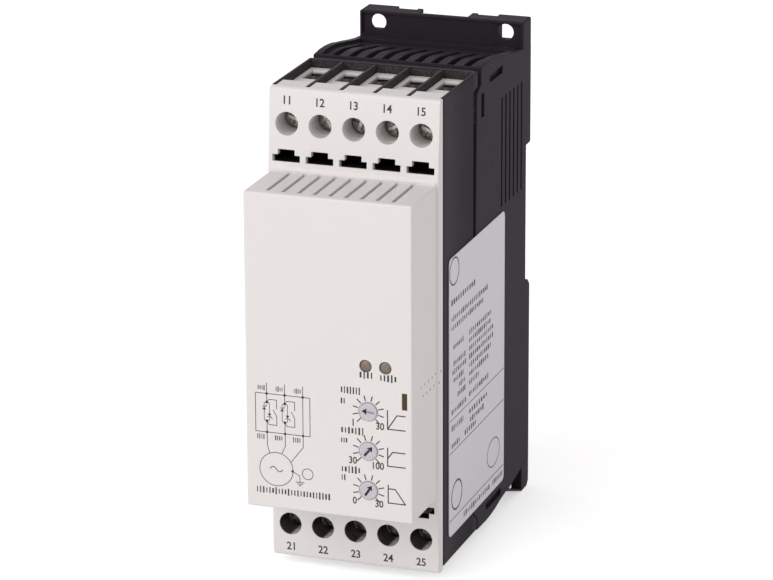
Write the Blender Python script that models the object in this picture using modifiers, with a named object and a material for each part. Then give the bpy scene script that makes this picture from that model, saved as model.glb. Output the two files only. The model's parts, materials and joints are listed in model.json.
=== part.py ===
"""Soft starter for a three-phase motor: 45 mm wide, for a 35 mm rail or two screws.

Metres, +X to the right, +Y to the rear, +Z up. The origin is the centre of the rail seat.
Inside this file a place is given as x, a depth behind the front of the hood, and a height
above the middle of the object.
"""
import math

import bmesh
import bpy
from mathutils import Matrix, Vector

# Overall sizes
WIDTH = 0.0450
DEPTH = 0.0950
HEIGHT = 0.1300             # from the foot to the top of the flange
END_STEP = 0.0035           # flange and foot beyond the black housing
GAP = 0.0003                # between pieces that touch
SLIDE_GAP = 0.0003          # round pieces that move
CELLS = 5

# White front cover
TOP_STRIP = 0.0213          # upper terminal strip, from the housing's end to the hood
BOTTOM_STRIP = 0.0195
HOOD_STEP = 0.0188          # how far the hood stands out of the terminal strips
HOOD_INSET = 0.0006         # hood narrower than the housing, each side
STRIP_INSET = 0.0001
STRIP_LEAN_TOP = 0.0016
STRIP_LEAN_BOTTOM = 0.0004
STRIP_THICK = 0.00365
COVER_DROP = 0.0010         # strip reaches below the housing
COVER_WALL = 0.0016
PANEL = 0.0018              # front wall of the hood
HOOD_FILLET = 0.0015
HOOD_ROUND = 0.0008
EDGE_ROUND = 0.0003
HOOD_SLOT = 0.0010
HOOD_SLOT_PITCH = 0.00406
HOOD_SLOT_FRONT = 0.0022
HOOD_SLOT_END = 0.0008      # from the slot to the strip

# Test slots in the strips, shaped like a T
TEST_SLOT_RISE = 0.0025     # above the hood
TEST_SLOT_LAND = 0.0016     # between two slots
TEST_SLOT_SHOULDER = 0.0014
TEST_SLOT_WIDE_HEIGHT = 0.0017
TEST_SLOT_HEIGHT = 0.0031
TEST_POCKET = 0.0060        # blind pocket behind the slot

# Terminals
ROW_BELOW_TOP = 0.0092
ROW_ABOVE_BOTTOM = 0.0080
DRIVER_LAND = 0.0028        # between two driver holes
HEAD_PLAY = 0.0006          # hole wider than the screw head
SCREW_HEAD_THICK = 0.0020
HEAD_BELOW = 0.00345        # screw head behind the housing's front
SCREW_SHANK = 0.0034
SCREW_LENGTH = 0.0094
SCREW_SLOT = 0.0008
SCREW_SLOT_DEPTH = 0.0010
SHOULDER = 0.0010           # ledge that the screw head bears on
CAGE_LAND = 0.0027          # between two cages
CAGE_SIDE = 0.0007
CAGE_END = 0.0012
CAGE_HEIGHT = 0.0070
CAGE_INSIDE = 0.0075
CAGE_TRAVEL = 0.0035
BAR_THICK = 0.0012
BAR_WIDTH = 0.0030
BAR_OVERLAP = 0.0055        # length that lies on the power board
MOUTH_RECESS = 0.0021       # floor with the wire funnels, below the housing edge
MOUTH_LEDGE = 0.0050        # front ledge level with the housing edge
FUNNEL_LAND = 0.0036        # between two funnels at the mouth
FUNNEL_LIP = 0.0008         # throat inside the cage's outer width, each side
FUNNEL_REAR = 0.0045        # how far the rear wall slopes out
WIRE_SPACE = 0.0048

# Black terminal housing
SIDE_WALL = 0.00085
MIDDLE_WALL = 0.0015
PARTITION = 0.0007
DIVIDER = 0.0014
BACK_WALL = 0.0014
INSERT_WALL = 0.0013        # insert behind the cages
TOP_BAR_REACH = 0.0034      # bar at each end, behind the seam
TOP_BAR = 0.0014
LEDGE_DROP = 0.0033         # ledge behind the cells, below the housing edge

# Black mounting base
SEAM_TOP = 0.0025
SEAM_BOTTOM = 0.0004
BASE_WALL = 0.0020
REAR_WALL = 0.0030
SHOULDER_PROUD = 0.0006     # shoulder above the housing
SHOULDER_DROP = 0.0041      # from the shoulder down to the flange
CAVITY_REACH = 0.0040       # hollow that opens at the seam
RAIL_RECESS = 0.0037
RAIL_SEAT = 0.0375
RAIL_RISE = 0.01235         # centre of the rail seat above the middle
RAIL_CHAMFER_TOP = 0.0005
RAIL_CHAMFER_BOTTOM = 0.0014
RAIL_PLATE = 0.0012         # room for the edge of the rail behind the hook
HOOK_LIP = 0.0020
HOOK_EDGE = 0.0055          # hook to the device's side
SEAT_RELIEF = 0.0010        # pockets in the seat, opposite the hook and the latch nose
SEAT_UNDERCUT = 0.0005
TONGUE = 0.0014
GRILLE_DIP = 0.0010
GRILLE_SLOT = 0.0018
GRILLE_PITCH = 0.0044
GRILLE_SETBACK = 0.0010
GRILLE_OVER = 0.0020
VENT = 0.0010
VENT_PITCH = 0.00337
VENT_EDGE = 0.0010          # from the last vent to the flange
VENT_SETBACK = 0.0209       # plain wall between the seam and the vents
VENT_DROP = 0.0126          # below the shoulder
VENT_LENGTH = 0.0291
PRY_SETBACK = 0.0045        # narrow slot near the seam
PRY_DROP = 0.0073
PRY_LENGTH = 0.0062
MARK_DROP = 0.0041          # shallow moulded recesses near the shoulders
MARK_HEIGHT = 0.0019
MARK_FRONT = 0.0072
MARK_REAR = 0.0175
FLANGE_THICK = 0.0072
FLANGE_PLATE = 0.0018
FLANGE_WALL = 0.0010
FLANGE_RIM = 0.0007
HOLE_EDGE = 0.0050          # fixing hole to the device's side
FIXING_HOLE = 0.00425
FIXING_EDGE = 0.00305       # hole centre to the end of the flange
FOOT_POCKET = 0.0100
FOOT_WEB = 0.0008
FOOT_CHAMFER = 0.0014
FOOT_LEAD = 0.0031          # start of the foot's slope before the shoulder's
REAR_POCKET = 0.0045

# Rail latch
LATCH_WIDTH = 0.0154
LATCH_WING = 0.0010
LATCH_WING_THICK = 0.0009
LATCH_THICK = 0.0028
LATCH_TRAVEL = 0.0035
LATCH_OVERLAP = 0.0020
LATCH_PLAY = 0.0023         # seat below the rail's lower edge
LATCH_SLOT = 0.0050
LATCH_SLOT_HEIGHT = 0.0020
LATCH_SLOT_LOW = 0.0015
LATCH_END = 0.0006          # latch above the foot's bottom
WINDOW_DROP = 0.0120        # spring window below the seat
SPRING_LENGTH = 0.0154
SPRING_RADIUS = 0.00115
SPRING_WIRE = 0.0002
SPRING_TURNS = 8
PEG = 0.0020

# Controls on the hood
DIAL_SIDE = 0.01207         # dials to the device's side
DIAL_FOOT = 0.0077          # lowest dial above the hood's lower end
DIAL_PITCH = 0.01035
DIAL = 0.00455
DIAL_PROUD = 0.0003
DIAL_LENGTH = 0.0060
DIAL_ARROW = 0.0007
POT = 0.0094
BOARD_DEPTH = 0.0105
BOARD = 0.0016
LIGHT_SIDE = 0.01275
LIGHT_PITCH = 0.00515
LIGHT_RISE = 0.0402         # above the hood's lower end
LIGHT = 0.0030
LIGHT_COLLAR = 0.0042
SIGNAL_SIDE = 0.00262
SIGNAL_RISE = 0.03195
SIGNAL_WIDTH = 0.0011
SIGNAL_LENGTH = 0.0041
SIGNAL_POCKET = 0.0010

# Side label
LABEL_SETBACK = 0.00345     # behind the housing's front
LABEL_END = 0.0158          # in front of the flange
LABEL_BELOW = 0.0015        # under the vents
LABEL_RISE = 0.0062         # above the housing's lower end
LABEL_THICK = 0.00015
LABEL_ROUND = 0.0015

# Inside the housing
HEAT_PLATE = 0.0030
HEAT_FIN = 0.0015
HEAT_PITCH = 0.0044
MODULE_THICK = 0.0153
MODULE_SIDE = 0.0025        # to the base's wall
MODULE_ROOM = 0.0036        # from a module to the dividers
MODULE_SPACE = 0.0040
RELAY_SIDE = 0.0030         # to the housing's wall
RELAY_HEIGHT = 0.0260
RELAY_THICK = 0.0155
RELAY_SPACE = 0.0020

# Places that follow from the sizes
HALF = WIDTH / 2
EDGE = HEIGHT / 2 - END_STEP
HOOD_TOP = EDGE - TOP_STRIP
HOOD_BOTTOM = EDGE - BOTTOM_STRIP
COVER_DEPTH = HOOD_STEP + STRIP_THICK
SEAT_DEPTH = DEPTH - RAIL_RECESS
FLANGE_FRONT = DEPTH - FLANGE_THICK
CELL_PITCH = (WIDTH - 2 * SIDE_WALL + PARTITION) / CELLS
CELL_X = [(i - (CELLS - 1) / 2) * CELL_PITCH for i in range(CELLS)]
TEST_SLOT_WIDE = CELL_PITCH - TEST_SLOT_LAND
TEST_SLOT_NARROW = TEST_SLOT_WIDE - 2 * TEST_SLOT_SHOULDER
DRIVER_HOLE = CELL_PITCH - DRIVER_LAND
SCREW_HEAD = DRIVER_HOLE - HEAD_PLAY
CAGE_WIDTH = CELL_PITCH - CAGE_LAND
FUNNEL_WIDE = CELL_PITCH - FUNNEL_LAND
FUNNEL_NARROW = CAGE_WIDTH - 2 * FUNNEL_LIP
HOUSING_FRONT = COVER_DEPTH + GAP
SCREW_HEAD_DEPTH = HOUSING_FRONT + HEAD_BELOW
HEAD_REAR = SCREW_HEAD_DEPTH + SCREW_HEAD_THICK
CHAMBER_FRONT = HEAD_REAR + GAP + SHOULDER
CAGE_LENGTH = CAGE_INSIDE + 2 * CAGE_END
CAGE_FRONT = CHAMBER_FRONT + SLIDE_GAP + CAGE_TRAVEL
CHAMBER_REAR = CAGE_FRONT + CAGE_LENGTH + SLIDE_GAP
SEAM_DEPTH = CHAMBER_REAR + INSERT_WALL + GAP + BACK_WALL
TOP_BAR_DEPTH = SEAM_DEPTH + TOP_BAR_REACH
WIRE_REAR = CAGE_FRONT + CAGE_END + CAGE_INSIDE
BAR_REAR = WIRE_REAR - WIRE_SPACE
BAR_FRONT = BAR_REAR - BAR_THICK
POWER_BOARD_FRONT = BAR_REAR + GAP
POWER_BOARD_REAR = POWER_BOARD_FRONT + BOARD
MODULE_FRONT = POWER_BOARD_REAR + GAP
MODULE_REAR = MODULE_FRONT + MODULE_THICK
HEAT_FRONT = MODULE_REAR + GAP
CAVITY_REAR = SEAT_DEPTH - REAR_WALL
SEAT_TOP = RAIL_RISE + RAIL_SEAT / 2
SEAT_BOTTOM = RAIL_RISE - RAIL_SEAT / 2
SIDES = ((1, "upper", EDGE - ROW_BELOW_TOP, HOOD_TOP), (-1, "lower", EDGE - ROW_ABOVE_BOTTOM, HOOD_BOTTOM))


def y_of(depth):
    """World Y of a depth behind the front of the hood."""
    return depth - SEAT_DEPTH


def z_of(height):
    """World Z of a height above the middle of the object."""
    return height - RAIL_RISE


# Scene
for item in list(bpy.data.objects):
    bpy.data.objects.remove(item, do_unlink=True)
for group in list(bpy.data.collections):
    bpy.data.collections.remove(group)
PARTS = bpy.data.collections.new("Soft starter")
TOOLS = bpy.data.collections.new("Cutters")
bpy.context.scene.collection.children.link(PARTS)
bpy.context.scene.collection.children.link(TOOLS)


def material(name, color, roughness, metallic=0.0):
    """One Principled material."""
    made = bpy.data.materials.new(name)
    made.use_nodes = True
    shader = made.node_tree.nodes["Principled BSDF"]
    shader.inputs["Base Color"].default_value = (*color, 1.0)
    shader.inputs["Roughness"].default_value = roughness
    shader.inputs["Metallic"].default_value = metallic
    made.diffuse_color = (*color, 1.0)
    return made


WHITE = material("white_plastic", (0.78, 0.76, 0.74), 0.45)
BLACK = material("black_plastic", (0.035, 0.032, 0.034), 0.5)
LABEL = material("label_film", (0.70, 0.69, 0.70), 0.4)
STEEL = material("zinc_steel", (0.55, 0.54, 0.50), 0.35, 1.0)
COPPER = material("tinned_copper", (0.70, 0.62, 0.52), 0.35, 1.0)
ALUMINIUM = material("aluminium", (0.62, 0.62, 0.63), 0.45, 1.0)
BOARD_GREEN = material("circuit_board", (0.03, 0.15, 0.08), 0.5)
MODULE = material("module_resin", (0.05, 0.05, 0.055), 0.5)
RELAY = material("relay_case", (0.10, 0.13, 0.20), 0.4)
DIAL_PLASTIC = material("dial_plastic", (0.55, 0.56, 0.62), 0.4)
LIGHT_PLASTIC = material("light_guide", (0.32, 0.24, 0.17), 0.3)
SIGNAL_PLASTIC = material("signal_brown", (0.16, 0.09, 0.04), 0.4)
LATCH_PLASTIC = material("latch_plastic", (0.05, 0.05, 0.05), 0.5)
SPRING_STEEL = material("spring_steel", (0.60, 0.60, 0.60), 0.3, 1.0)


def add_object(name, mesh, look=None, tool=False):
    """Link a mesh as a piece, or as a cutter that is left out of renders."""
    made = bpy.data.objects.new(name, mesh)
    (TOOLS if tool else PARTS).objects.link(made)
    if tool:
        made.hide_render = True
        made.display_type = 'WIRE'
    elif look is not None and not mesh.materials:
        mesh.materials.append(look)
    return made


def from_bmesh(name, shape, look=None, tool=False):
    """Turn a bmesh into an object."""
    mesh = bpy.data.meshes.new(name)
    bmesh.ops.recalc_face_normals(shape, faces=shape.faces)
    shape.to_mesh(mesh)
    shape.free()
    return add_object(name, mesh, look, tool)


def block(shape, x, depth, height):
    """Add a box between two x, two depths and two heights."""
    spans = [sorted(pair) for pair in (x, [y_of(d) for d in depth], [z_of(h) for h in height])]
    middle = Vector([(low + high) / 2 for low, high in spans])
    size = Matrix.Diagonal([high - low for low, high in spans] + [1.0])
    bmesh.ops.create_cube(shape, size=1.0, matrix=Matrix.Translation(middle) @ size)


def rod(shape, x, height, depth, radius, sides=24, end_radius=None):
    """Add a round bar along the depth."""
    front, rear = depth
    place = Matrix.Translation((x, y_of((front + rear) / 2), z_of(height)))
    bmesh.ops.create_cone(
        shape, cap_ends=True, segments=sides, radius1=radius,
        radius2=radius if end_radius is None else end_radius, depth=rear - front,
        matrix=place @ Matrix.Rotation(-math.pi / 2, 4, 'X'))


def tool_of(name, *fills):
    """A cutter made of separate boxes and rods."""
    shape = bmesh.new()
    for fill, *values in fills:
        fill(shape, *values)
    return from_bmesh(name, shape, tool=True)


def extruded(points, low, high, place):
    """Mesh of a flat outline pushed from low to high along its normal."""
    curve = bpy.data.curves.new("outline", 'CURVE')
    curve.dimensions = '2D'
    curve.fill_mode = 'BOTH'
    curve.extrude = abs(high - low) / 2
    spline = curve.splines.new('POLY')
    spline.points.add(len(points) - 1)
    for point, (u, v) in zip(spline.points, points):
        point.co = (u, v, 0.0, 1.0)
    spline.use_cyclic_u = True
    holder = bpy.data.objects.new("outline", curve)
    TOOLS.objects.link(holder)
    graph = bpy.context.evaluated_depsgraph_get()
    mesh = bpy.data.meshes.new_from_object(holder.evaluated_get(graph))
    bpy.data.objects.remove(holder, do_unlink=True)
    bpy.data.curves.remove(curve)
    mesh.transform(place @ Matrix.Translation((0.0, 0.0, (low + high) / 2)))
    shape = bmesh.new()
    shape.from_mesh(mesh)
    bmesh.ops.remove_doubles(shape, verts=shape.verts, dist=1e-6)
    bmesh.ops.dissolve_limit(shape, angle_limit=math.radians(0.5), verts=shape.verts, edges=shape.edges)
    bmesh.ops.recalc_face_normals(shape, faces=shape.faces)
    shape.to_mesh(mesh)
    shape.free()
    return mesh


SIDE_VIEW = Matrix(((0, 0, 1, 0), (1, 0, 0, 0), (0, 1, 0, 0), (0, 0, 0, 1)))
PLAN_VIEW = Matrix.Identity(4)
FRONT_VIEW = Matrix(((1, 0, 0, 0), (0, 0, -1, 0), (0, 1, 0, 0), (0, 0, 0, 1)))


def side_shape(name, points, x, look=None, tool=False):
    """Outline of depths and heights, pushed between two x."""
    low, high = sorted(x)
    places = [(y_of(depth), z_of(height)) for depth, height in points]
    return add_object(name, extruded(places, low, high, SIDE_VIEW), look, tool)


def plan_shape(name, points, height, look=None, tool=False):
    """Outline of x and depths, pushed between two heights."""
    low, high = sorted(z_of(h) for h in height)
    places = [(x, y_of(depth)) for x, depth in points]
    return add_object(name, extruded(places, low, high, PLAN_VIEW), look, tool)


def front_shape(name, points, depth, look=None, tool=False):
    """Outline of x and heights, pushed between two depths."""
    low, high = sorted(-y_of(d) for d in depth)
    places = [(x, z_of(height)) for x, height in points]
    return add_object(name, extruded(places, low, high, FRONT_VIEW), look, tool)


def bevel(target, width, segments=2, angle=40):
    """Round the sharp edges."""
    rounding = target.modifiers.new("Round", 'BEVEL')
    rounding.width = width
    rounding.segments = segments
    rounding.limit_method = 'ANGLE'
    rounding.angle_limit = math.radians(angle)


def combine(target, tool, operation):
    """Boolean with a tool object."""
    step = target.modifiers.new(tool.name, 'BOOLEAN')
    step.operation = operation
    step.object = tool
    step.solver = 'EXACT'
    tool.hide_render = True
    tool.display_type = 'WIRE'


def cut(target, *tools):
    """Take tools away."""
    for tool in tools:
        combine(target, tool, 'DIFFERENCE')


def join(target, *tools):
    """Add tools."""
    for tool in tools:
        combine(target, tool, 'UNION')


def settled(target, name):
    """Mesh of a piece with its modifiers applied."""
    graph = bpy.context.evaluated_depsgraph_get()
    mesh = bpy.data.meshes.new_from_object(target.evaluated_get(graph))
    mesh.name = name
    return mesh


def smooth(target, angle=35):
    """Shade round faces smooth."""
    target.data.shade_smooth()
    target.data.set_sharp_from_angle(angle=math.radians(angle))


def arc(centre, radius, start, end, steps):
    """Points of an arc, angles in degrees."""
    points = []
    for step in range(steps + 1):
        angle = math.radians(start + (end - start) * step / steps)
        points.append((centre[0] + radius * math.cos(angle), centre[1] + radius * math.sin(angle)))
    return points


def spread(pitch, room):
    """Centres of a row that fits in the room, about zero."""
    count = max(1, int(room / pitch + 1e-6))
    return [(i - (count - 1) / 2) * pitch for i in range(count)]


# Front cover: two leaning strips, one hood, hollow behind
strip_half = HALF - STRIP_INSET
hood_half = HALF - HOOD_INSET
cover_top = EDGE
cover_bottom = EDGE + COVER_DROP
front_cover = side_shape("front_cover", [
    (COVER_DEPTH, -cover_bottom),
    (COVER_DEPTH, cover_top),
    (HOOD_STEP + STRIP_LEAN_TOP + 0.0010, cover_top),
    (HOOD_STEP + STRIP_LEAN_TOP + 0.0003, cover_top - 0.0003),
    (HOOD_STEP + STRIP_LEAN_TOP, cover_top - 0.0012),
    (HOOD_STEP, HOOD_TOP),
    (HOOD_STEP, -HOOD_BOTTOM),
    (HOOD_STEP + STRIP_LEAN_BOTTOM, -cover_bottom + 0.0012),
    (HOOD_STEP + STRIP_LEAN_BOTTOM + 0.0003, -cover_bottom + 0.0003),
    (HOOD_STEP + STRIP_LEAN_BOTTOM + 0.0010, -cover_bottom),
], (-strip_half, strip_half), WHITE)
bevel(front_cover, EDGE_ROUND, 2)
hood_rear = (HOOD_STEP + COVER_DEPTH) / 2
hood = side_shape("hood", [
    (0.0, -HOOD_BOTTOM),
    (0.0, HOOD_TOP),
    *arc((HOOD_STEP - HOOD_FILLET, HOOD_TOP + HOOD_FILLET), HOOD_FILLET, -90, 0, 4),
    (hood_rear, HOOD_TOP + HOOD_FILLET),
    (hood_rear, -HOOD_BOTTOM - HOOD_FILLET),
    *arc((HOOD_STEP - HOOD_FILLET, -HOOD_BOTTOM - HOOD_FILLET), HOOD_FILLET, 0, 90, 4),
], (-hood_half, hood_half), tool=True)
bevel(hood, HOOD_ROUND, 3, 60)
join(front_cover, hood)
hollow = tool_of(
    "hood_hollow",
    (block, (-hood_half + COVER_WALL, hood_half - COVER_WALL), (PANEL, COVER_DEPTH + 0.001),
     (-HOOD_BOTTOM + COVER_WALL, HOOD_TOP - COVER_WALL)))
cut(front_cover, hollow)

hole_fills = []
slot_fills = []
for side, word, row, hood_edge in SIDES:
    low = hood_edge + TEST_SLOT_RISE
    middle = low + TEST_SLOT_WIDE_HEIGHT
    high = low + TEST_SLOT_HEIGHT
    for x in CELL_X:
        hole_fills.append((rod, x, side * row, (HOOD_STEP - 0.002, COVER_DEPTH + 0.001), DRIVER_HOLE / 2, 20))
        wide, narrow = TEST_SLOT_WIDE / 2, TEST_SLOT_NARROW / 2
        slot_fills.append(front_shape("test_slot", [
            (x - wide, side * low), (x + wide, side * low), (x + wide, side * middle),
            (x + narrow, side * middle), (x + narrow, side * high), (x - narrow, side * high),
            (x - narrow, side * middle), (x - wide, side * middle),
        ], (HOOD_STEP - 0.001, COVER_DEPTH + 0.001), tool=True))
cut(front_cover, tool_of("driver_holes", *hole_fills))
test_slots = bmesh.new()
for slot in slot_fills:
    test_slots.from_mesh(slot.data)
    bpy.data.objects.remove(slot, do_unlink=True)
cut(front_cover, from_bmesh("test_slots", test_slots, tool=True))

vent_room = 2 * (hood_half - COVER_WALL) - HOOD_SLOT_PITCH
vent_fills = []
for x in spread(HOOD_SLOT_PITCH, vent_room + HOOD_SLOT_PITCH / 2):
    for low, high in ((HOOD_TOP - COVER_WALL - 0.001, HOOD_TOP + HOOD_FILLET * 0.7),
                      (-HOOD_BOTTOM - HOOD_FILLET * 0.7, -HOOD_BOTTOM + COVER_WALL + 0.001)):
        vent_fills.append((block, (x - HOOD_SLOT / 2, x + HOOD_SLOT / 2), (HOOD_SLOT_FRONT, HOOD_STEP - HOOD_SLOT_END),
                           (low, high)))
cut(front_cover, tool_of("hood_vents", *vent_fills))

DIALS = 3
dial_x = HALF - DIAL_SIDE
dial_heights = [-HOOD_BOTTOM + DIAL_FOOT + i * DIAL_PITCH for i in reversed(range(DIALS))]
light_x = [HALF - LIGHT_SIDE, HALF - LIGHT_SIDE + LIGHT_PITCH]
light_height = -HOOD_BOTTOM + LIGHT_RISE
signal_x = HALF - SIGNAL_SIDE
signal_height = -HOOD_BOTTOM + SIGNAL_RISE
control_fills = [(rod, dial_x, h, (-0.001, PANEL + 0.001), DIAL / 2 + GAP, 28) for h in dial_heights]
control_fills += [(rod, x, light_height, (-0.001, PANEL + 0.001), LIGHT / 2 + GAP / 2, 24) for x in light_x]
control_fills.append((block, (signal_x - SIGNAL_WIDTH / 2 - GAP / 2, signal_x + SIGNAL_WIDTH / 2 + GAP / 2),
                      (-0.001, SIGNAL_POCKET),
                      (signal_height - SIGNAL_LENGTH / 2 - GAP / 2, signal_height + SIGNAL_LENGTH / 2 + GAP / 2)))
cut(front_cover, tool_of("control_holes", *control_fills))

# Terminal housing: side walls, dividers, cells
SEAM_JOG = 0.0007
housing = side_shape("terminal_housing", [
    (HOUSING_FRONT, -EDGE),
    (HOUSING_FRONT, EDGE),
    (TOP_BAR_DEPTH, EDGE),
    (TOP_BAR_DEPTH, EDGE - LEDGE_DROP - SEAM_JOG),
    (SEAM_DEPTH, EDGE - LEDGE_DROP - 2 * SEAM_JOG),
    (SEAM_DEPTH, -EDGE + LEDGE_DROP + 3 * SEAM_JOG),
    (TOP_BAR_DEPTH, -EDGE + LEDGE_DROP - SEAM_JOG / 2),
    (TOP_BAR_DEPTH, -EDGE),
], (-HALF, HALF), BLACK)
bevel(housing, EDGE_ROUND, 2)
bay_inside = {}
cell_half = HALF - SIDE_WALL
cut(housing, tool_of(
    "housing_middle",
    (block, (-HALF + MIDDLE_WALL, HALF - MIDDLE_WALL), (HOUSING_FRONT - 0.001, TOP_BAR_DEPTH + 0.001),
     (-HOOD_BOTTOM + COVER_WALL, HOOD_TOP - COVER_WALL))))
WALL_FRONT = SEAM_DEPTH - BACK_WALL
BAR_FACE = TOP_BAR_DEPTH - TOP_BAR
for side, word, row, hood_edge in SIDES:
    inside = hood_edge - COVER_WALL + DIVIDER
    cut(housing, side_shape(word + "_bay", [
        (HOUSING_FRONT - 0.001, side * inside),
        (WALL_FRONT, side * inside),
        (WALL_FRONT, side * (EDGE - LEDGE_DROP)),
        (BAR_FACE, side * (EDGE - LEDGE_DROP)),
        (BAR_FACE, side * (EDGE + 0.001)),
        (HOUSING_FRONT - 0.001, side * (EDGE + 0.001)),
    ], (-cell_half, cell_half), tool=True))
PARTITION_FRONT = HOUSING_FRONT + 0.0005
WEB = 0.0020                # web that joins the insert's towers
for side, word, row, hood_edge in SIDES:
    inside = hood_edge - COVER_WALL + DIVIDER
    foot = inside + GAP + WEB + GAP
    partitions = bmesh.new()
    for i in range(CELLS - 1):
        x = (CELL_X[i] + CELL_X[i + 1]) / 2
        wall = side_shape("partition", [
            (PARTITION_FRONT, side * foot),
            (WALL_FRONT + BACK_WALL / 2, side * foot),
            (WALL_FRONT + BACK_WALL / 2, side * (EDGE - LEDGE_DROP - 0.0004)),
            (BAR_FACE + TOP_BAR / 2, side * (EDGE - LEDGE_DROP + 0.0002)),
            (BAR_FACE + TOP_BAR / 2, side * (EDGE - 0.0001)),
            (PARTITION_FRONT, side * (EDGE - 0.0001)),
        ], (x - PARTITION / 2, x + PARTITION / 2), tool=True)
        partitions.from_mesh(wall.data)
        bpy.data.objects.remove(wall, do_unlink=True)
    join(housing, from_bmesh(word + "_partitions", partitions, tool=True))
bar_fills = []
for side, word, row, hood_edge in SIDES:
    inside = hood_edge - COVER_WALL
    for x in CELL_X:
        bar_fills.append((block, (x - BAR_WIDTH / 2 - GAP, x + BAR_WIDTH / 2 + GAP),
                          (BAR_FRONT - GAP, BAR_REAR + GAP),
                          (side * (inside - 0.001), side * (inside + DIVIDER + 0.001))))
cut(housing, tool_of("divider_slots", *bar_fills))

# Terminal inserts: five towers on one web, with funnels for the wires
INSERT_GAP = 0.0002
tower_half = (CELL_PITCH - PARTITION) / 2 - INSERT_GAP
for side, word, row, hood_edge in SIDES:
    inside = hood_edge - COVER_WALL + DIVIDER + GAP
    floor = EDGE - MOUTH_RECESS
    insert_front = HOUSING_FRONT + 0.0001
    insert = side_shape(word + "_terminal_insert", [
        (insert_front, side * inside),
        (WALL_FRONT - GAP, side * inside),
        (WALL_FRONT - GAP, side * (EDGE - LEDGE_DROP + GAP)),
        (BAR_FACE - GAP, side * (EDGE - LEDGE_DROP + GAP)),
        (BAR_FACE - GAP, side * floor),
        (insert_front + MOUTH_LEDGE + 0.0004, side * floor),
        (insert_front + MOUTH_LEDGE, side * (floor + 0.0004)),
        (insert_front + MOUTH_LEDGE, side * (EDGE - 0.0002)),
        (insert_front, side * (EDGE - 0.0002)),
    ], (-cell_half + INSERT_GAP, cell_half - INSERT_GAP), WHITE)
    gaps = []
    for i in range(CELLS - 1):
        x = (CELL_X[i] + CELL_X[i + 1]) / 2
        gaps.append((block, (x - PARTITION / 2 - INSERT_GAP, x + PARTITION / 2 + INSERT_GAP),
                     (insert_front - 0.001, BAR_FACE + 0.001),
                     (side * (inside + WEB), side * (EDGE + 0.001))))
    cut(insert, tool_of(word + "_tower_gaps", *gaps))
    chambers = []
    bores = []
    necks = []
    slots = []
    pockets = []
    for x in CELL_X:
        chambers.append((block, (x - CAGE_WIDTH / 2 - GAP / 2, x + CAGE_WIDTH / 2 + GAP / 2),
                         (CHAMBER_FRONT, CHAMBER_REAR),
                         (side * (row - CAGE_HEIGHT / 2 - SLIDE_GAP), side * (row + CAGE_HEIGHT / 2 + SLIDE_GAP))))
        bores.append((rod, x, side * row, (insert_front - 0.001, CHAMBER_FRONT - SHOULDER), DRIVER_HOLE / 2, 20))
        necks.append((rod, x, side * row, (CHAMBER_FRONT - SHOULDER - 0.0005, CHAMBER_FRONT + 0.001),
                      SCREW_SHANK / 2 + GAP, 16))
        slots.append((block, (x - BAR_WIDTH / 2 - GAP, x + BAR_WIDTH / 2 + GAP), (BAR_FRONT - GAP, BAR_REAR + GAP),
                      (side * (inside - 0.001), side * (row - CAGE_HEIGHT / 2))))
        low = hood_edge + TEST_SLOT_RISE
        pockets.append((block, (x - TEST_SLOT_WIDE / 2, x + TEST_SLOT_WIDE / 2),
                        (insert_front - 0.001, insert_front + TEST_POCKET),
                        (side * (low - 0.0002), side * (low + TEST_SLOT_HEIGHT + 0.0002))))
    cut(insert, tool_of(word + "_chambers", *chambers), tool_of(word + "_bores", *bores),
        tool_of(word + "_necks", *necks), tool_of(word + "_bar_slots", *slots),
        tool_of(word + "_test_pockets", *pockets))
    funnels = bmesh.new()
    ceiling = row + CAGE_HEIGHT / 2 + SLIDE_GAP
    throat = (WIRE_REAR - WIRE_SPACE + GAP, WIRE_REAR)
    for x in CELL_X:
        below = (ceiling - 0.0010, FUNNEL_NARROW / 2, throat[0], throat[1])
        above = (floor + 0.0005, FUNNEL_WIDE / 2, throat[0] - 0.0004, throat[1] + FUNNEL_REAR)
        rings = []
        for height, half, front, rear in (below, above):
            corners = ((x - half, front), (x + half, front), (x + half, rear), (x - half, rear))
            ring = [funnels.verts.new((a, y_of(b), z_of(side * height))) for a, b in corners]
            rings.append([funnels.edges.new((ring[k], ring[(k + 1) % 4])) for k in range(4)])
            funnels.faces.new(ring)
        bmesh.ops.bridge_loops(funnels, edges=rings[0] + rings[1])
    cut(insert, from_bmesh(word + "_funnels", funnels, tool=True))

# Terminal screws, clamp cages and bars, one of each at every terminal
screw_shape = bmesh.new()
rod(screw_shape, 0.0, RAIL_RISE, (SEAT_DEPTH, SEAT_DEPTH + SCREW_HEAD_THICK), SCREW_HEAD / 2, 16)
screw = from_bmesh("screw_head", screw_shape, STEEL)
shank = tool_of("screw_shank", (rod, 0.0, RAIL_RISE,
                                (SEAT_DEPTH + SCREW_HEAD_THICK / 2, SEAT_DEPTH + SCREW_LENGTH),
                                SCREW_SHANK / 2, 12))
join(screw, shank)
cross = tool_of("screw_slot",
                (block, (-SCREW_HEAD, SCREW_HEAD), (SEAT_DEPTH - 0.001, SEAT_DEPTH + SCREW_SLOT_DEPTH),
                 (RAIL_RISE - SCREW_SLOT / 2, RAIL_RISE + SCREW_SLOT / 2)))
across = tool_of("screw_cross",
                 (block, (-SCREW_SLOT / 2, SCREW_SLOT / 2), (SEAT_DEPTH - 0.001, SEAT_DEPTH + SCREW_SLOT_DEPTH * 1.3),
                  (RAIL_RISE - SCREW_HEAD * 0.32, RAIL_RISE + SCREW_HEAD * 0.32)))
cut(screw, cross, across)
screw_mesh = settled(screw, "terminal_screw")
cage_shape = bmesh.new()
block(cage_shape, (-CAGE_WIDTH / 2, CAGE_WIDTH / 2), (SEAT_DEPTH, SEAT_DEPTH + CAGE_LENGTH),
      (RAIL_RISE - CAGE_HEIGHT / 2, RAIL_RISE + CAGE_HEIGHT / 2))
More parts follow.
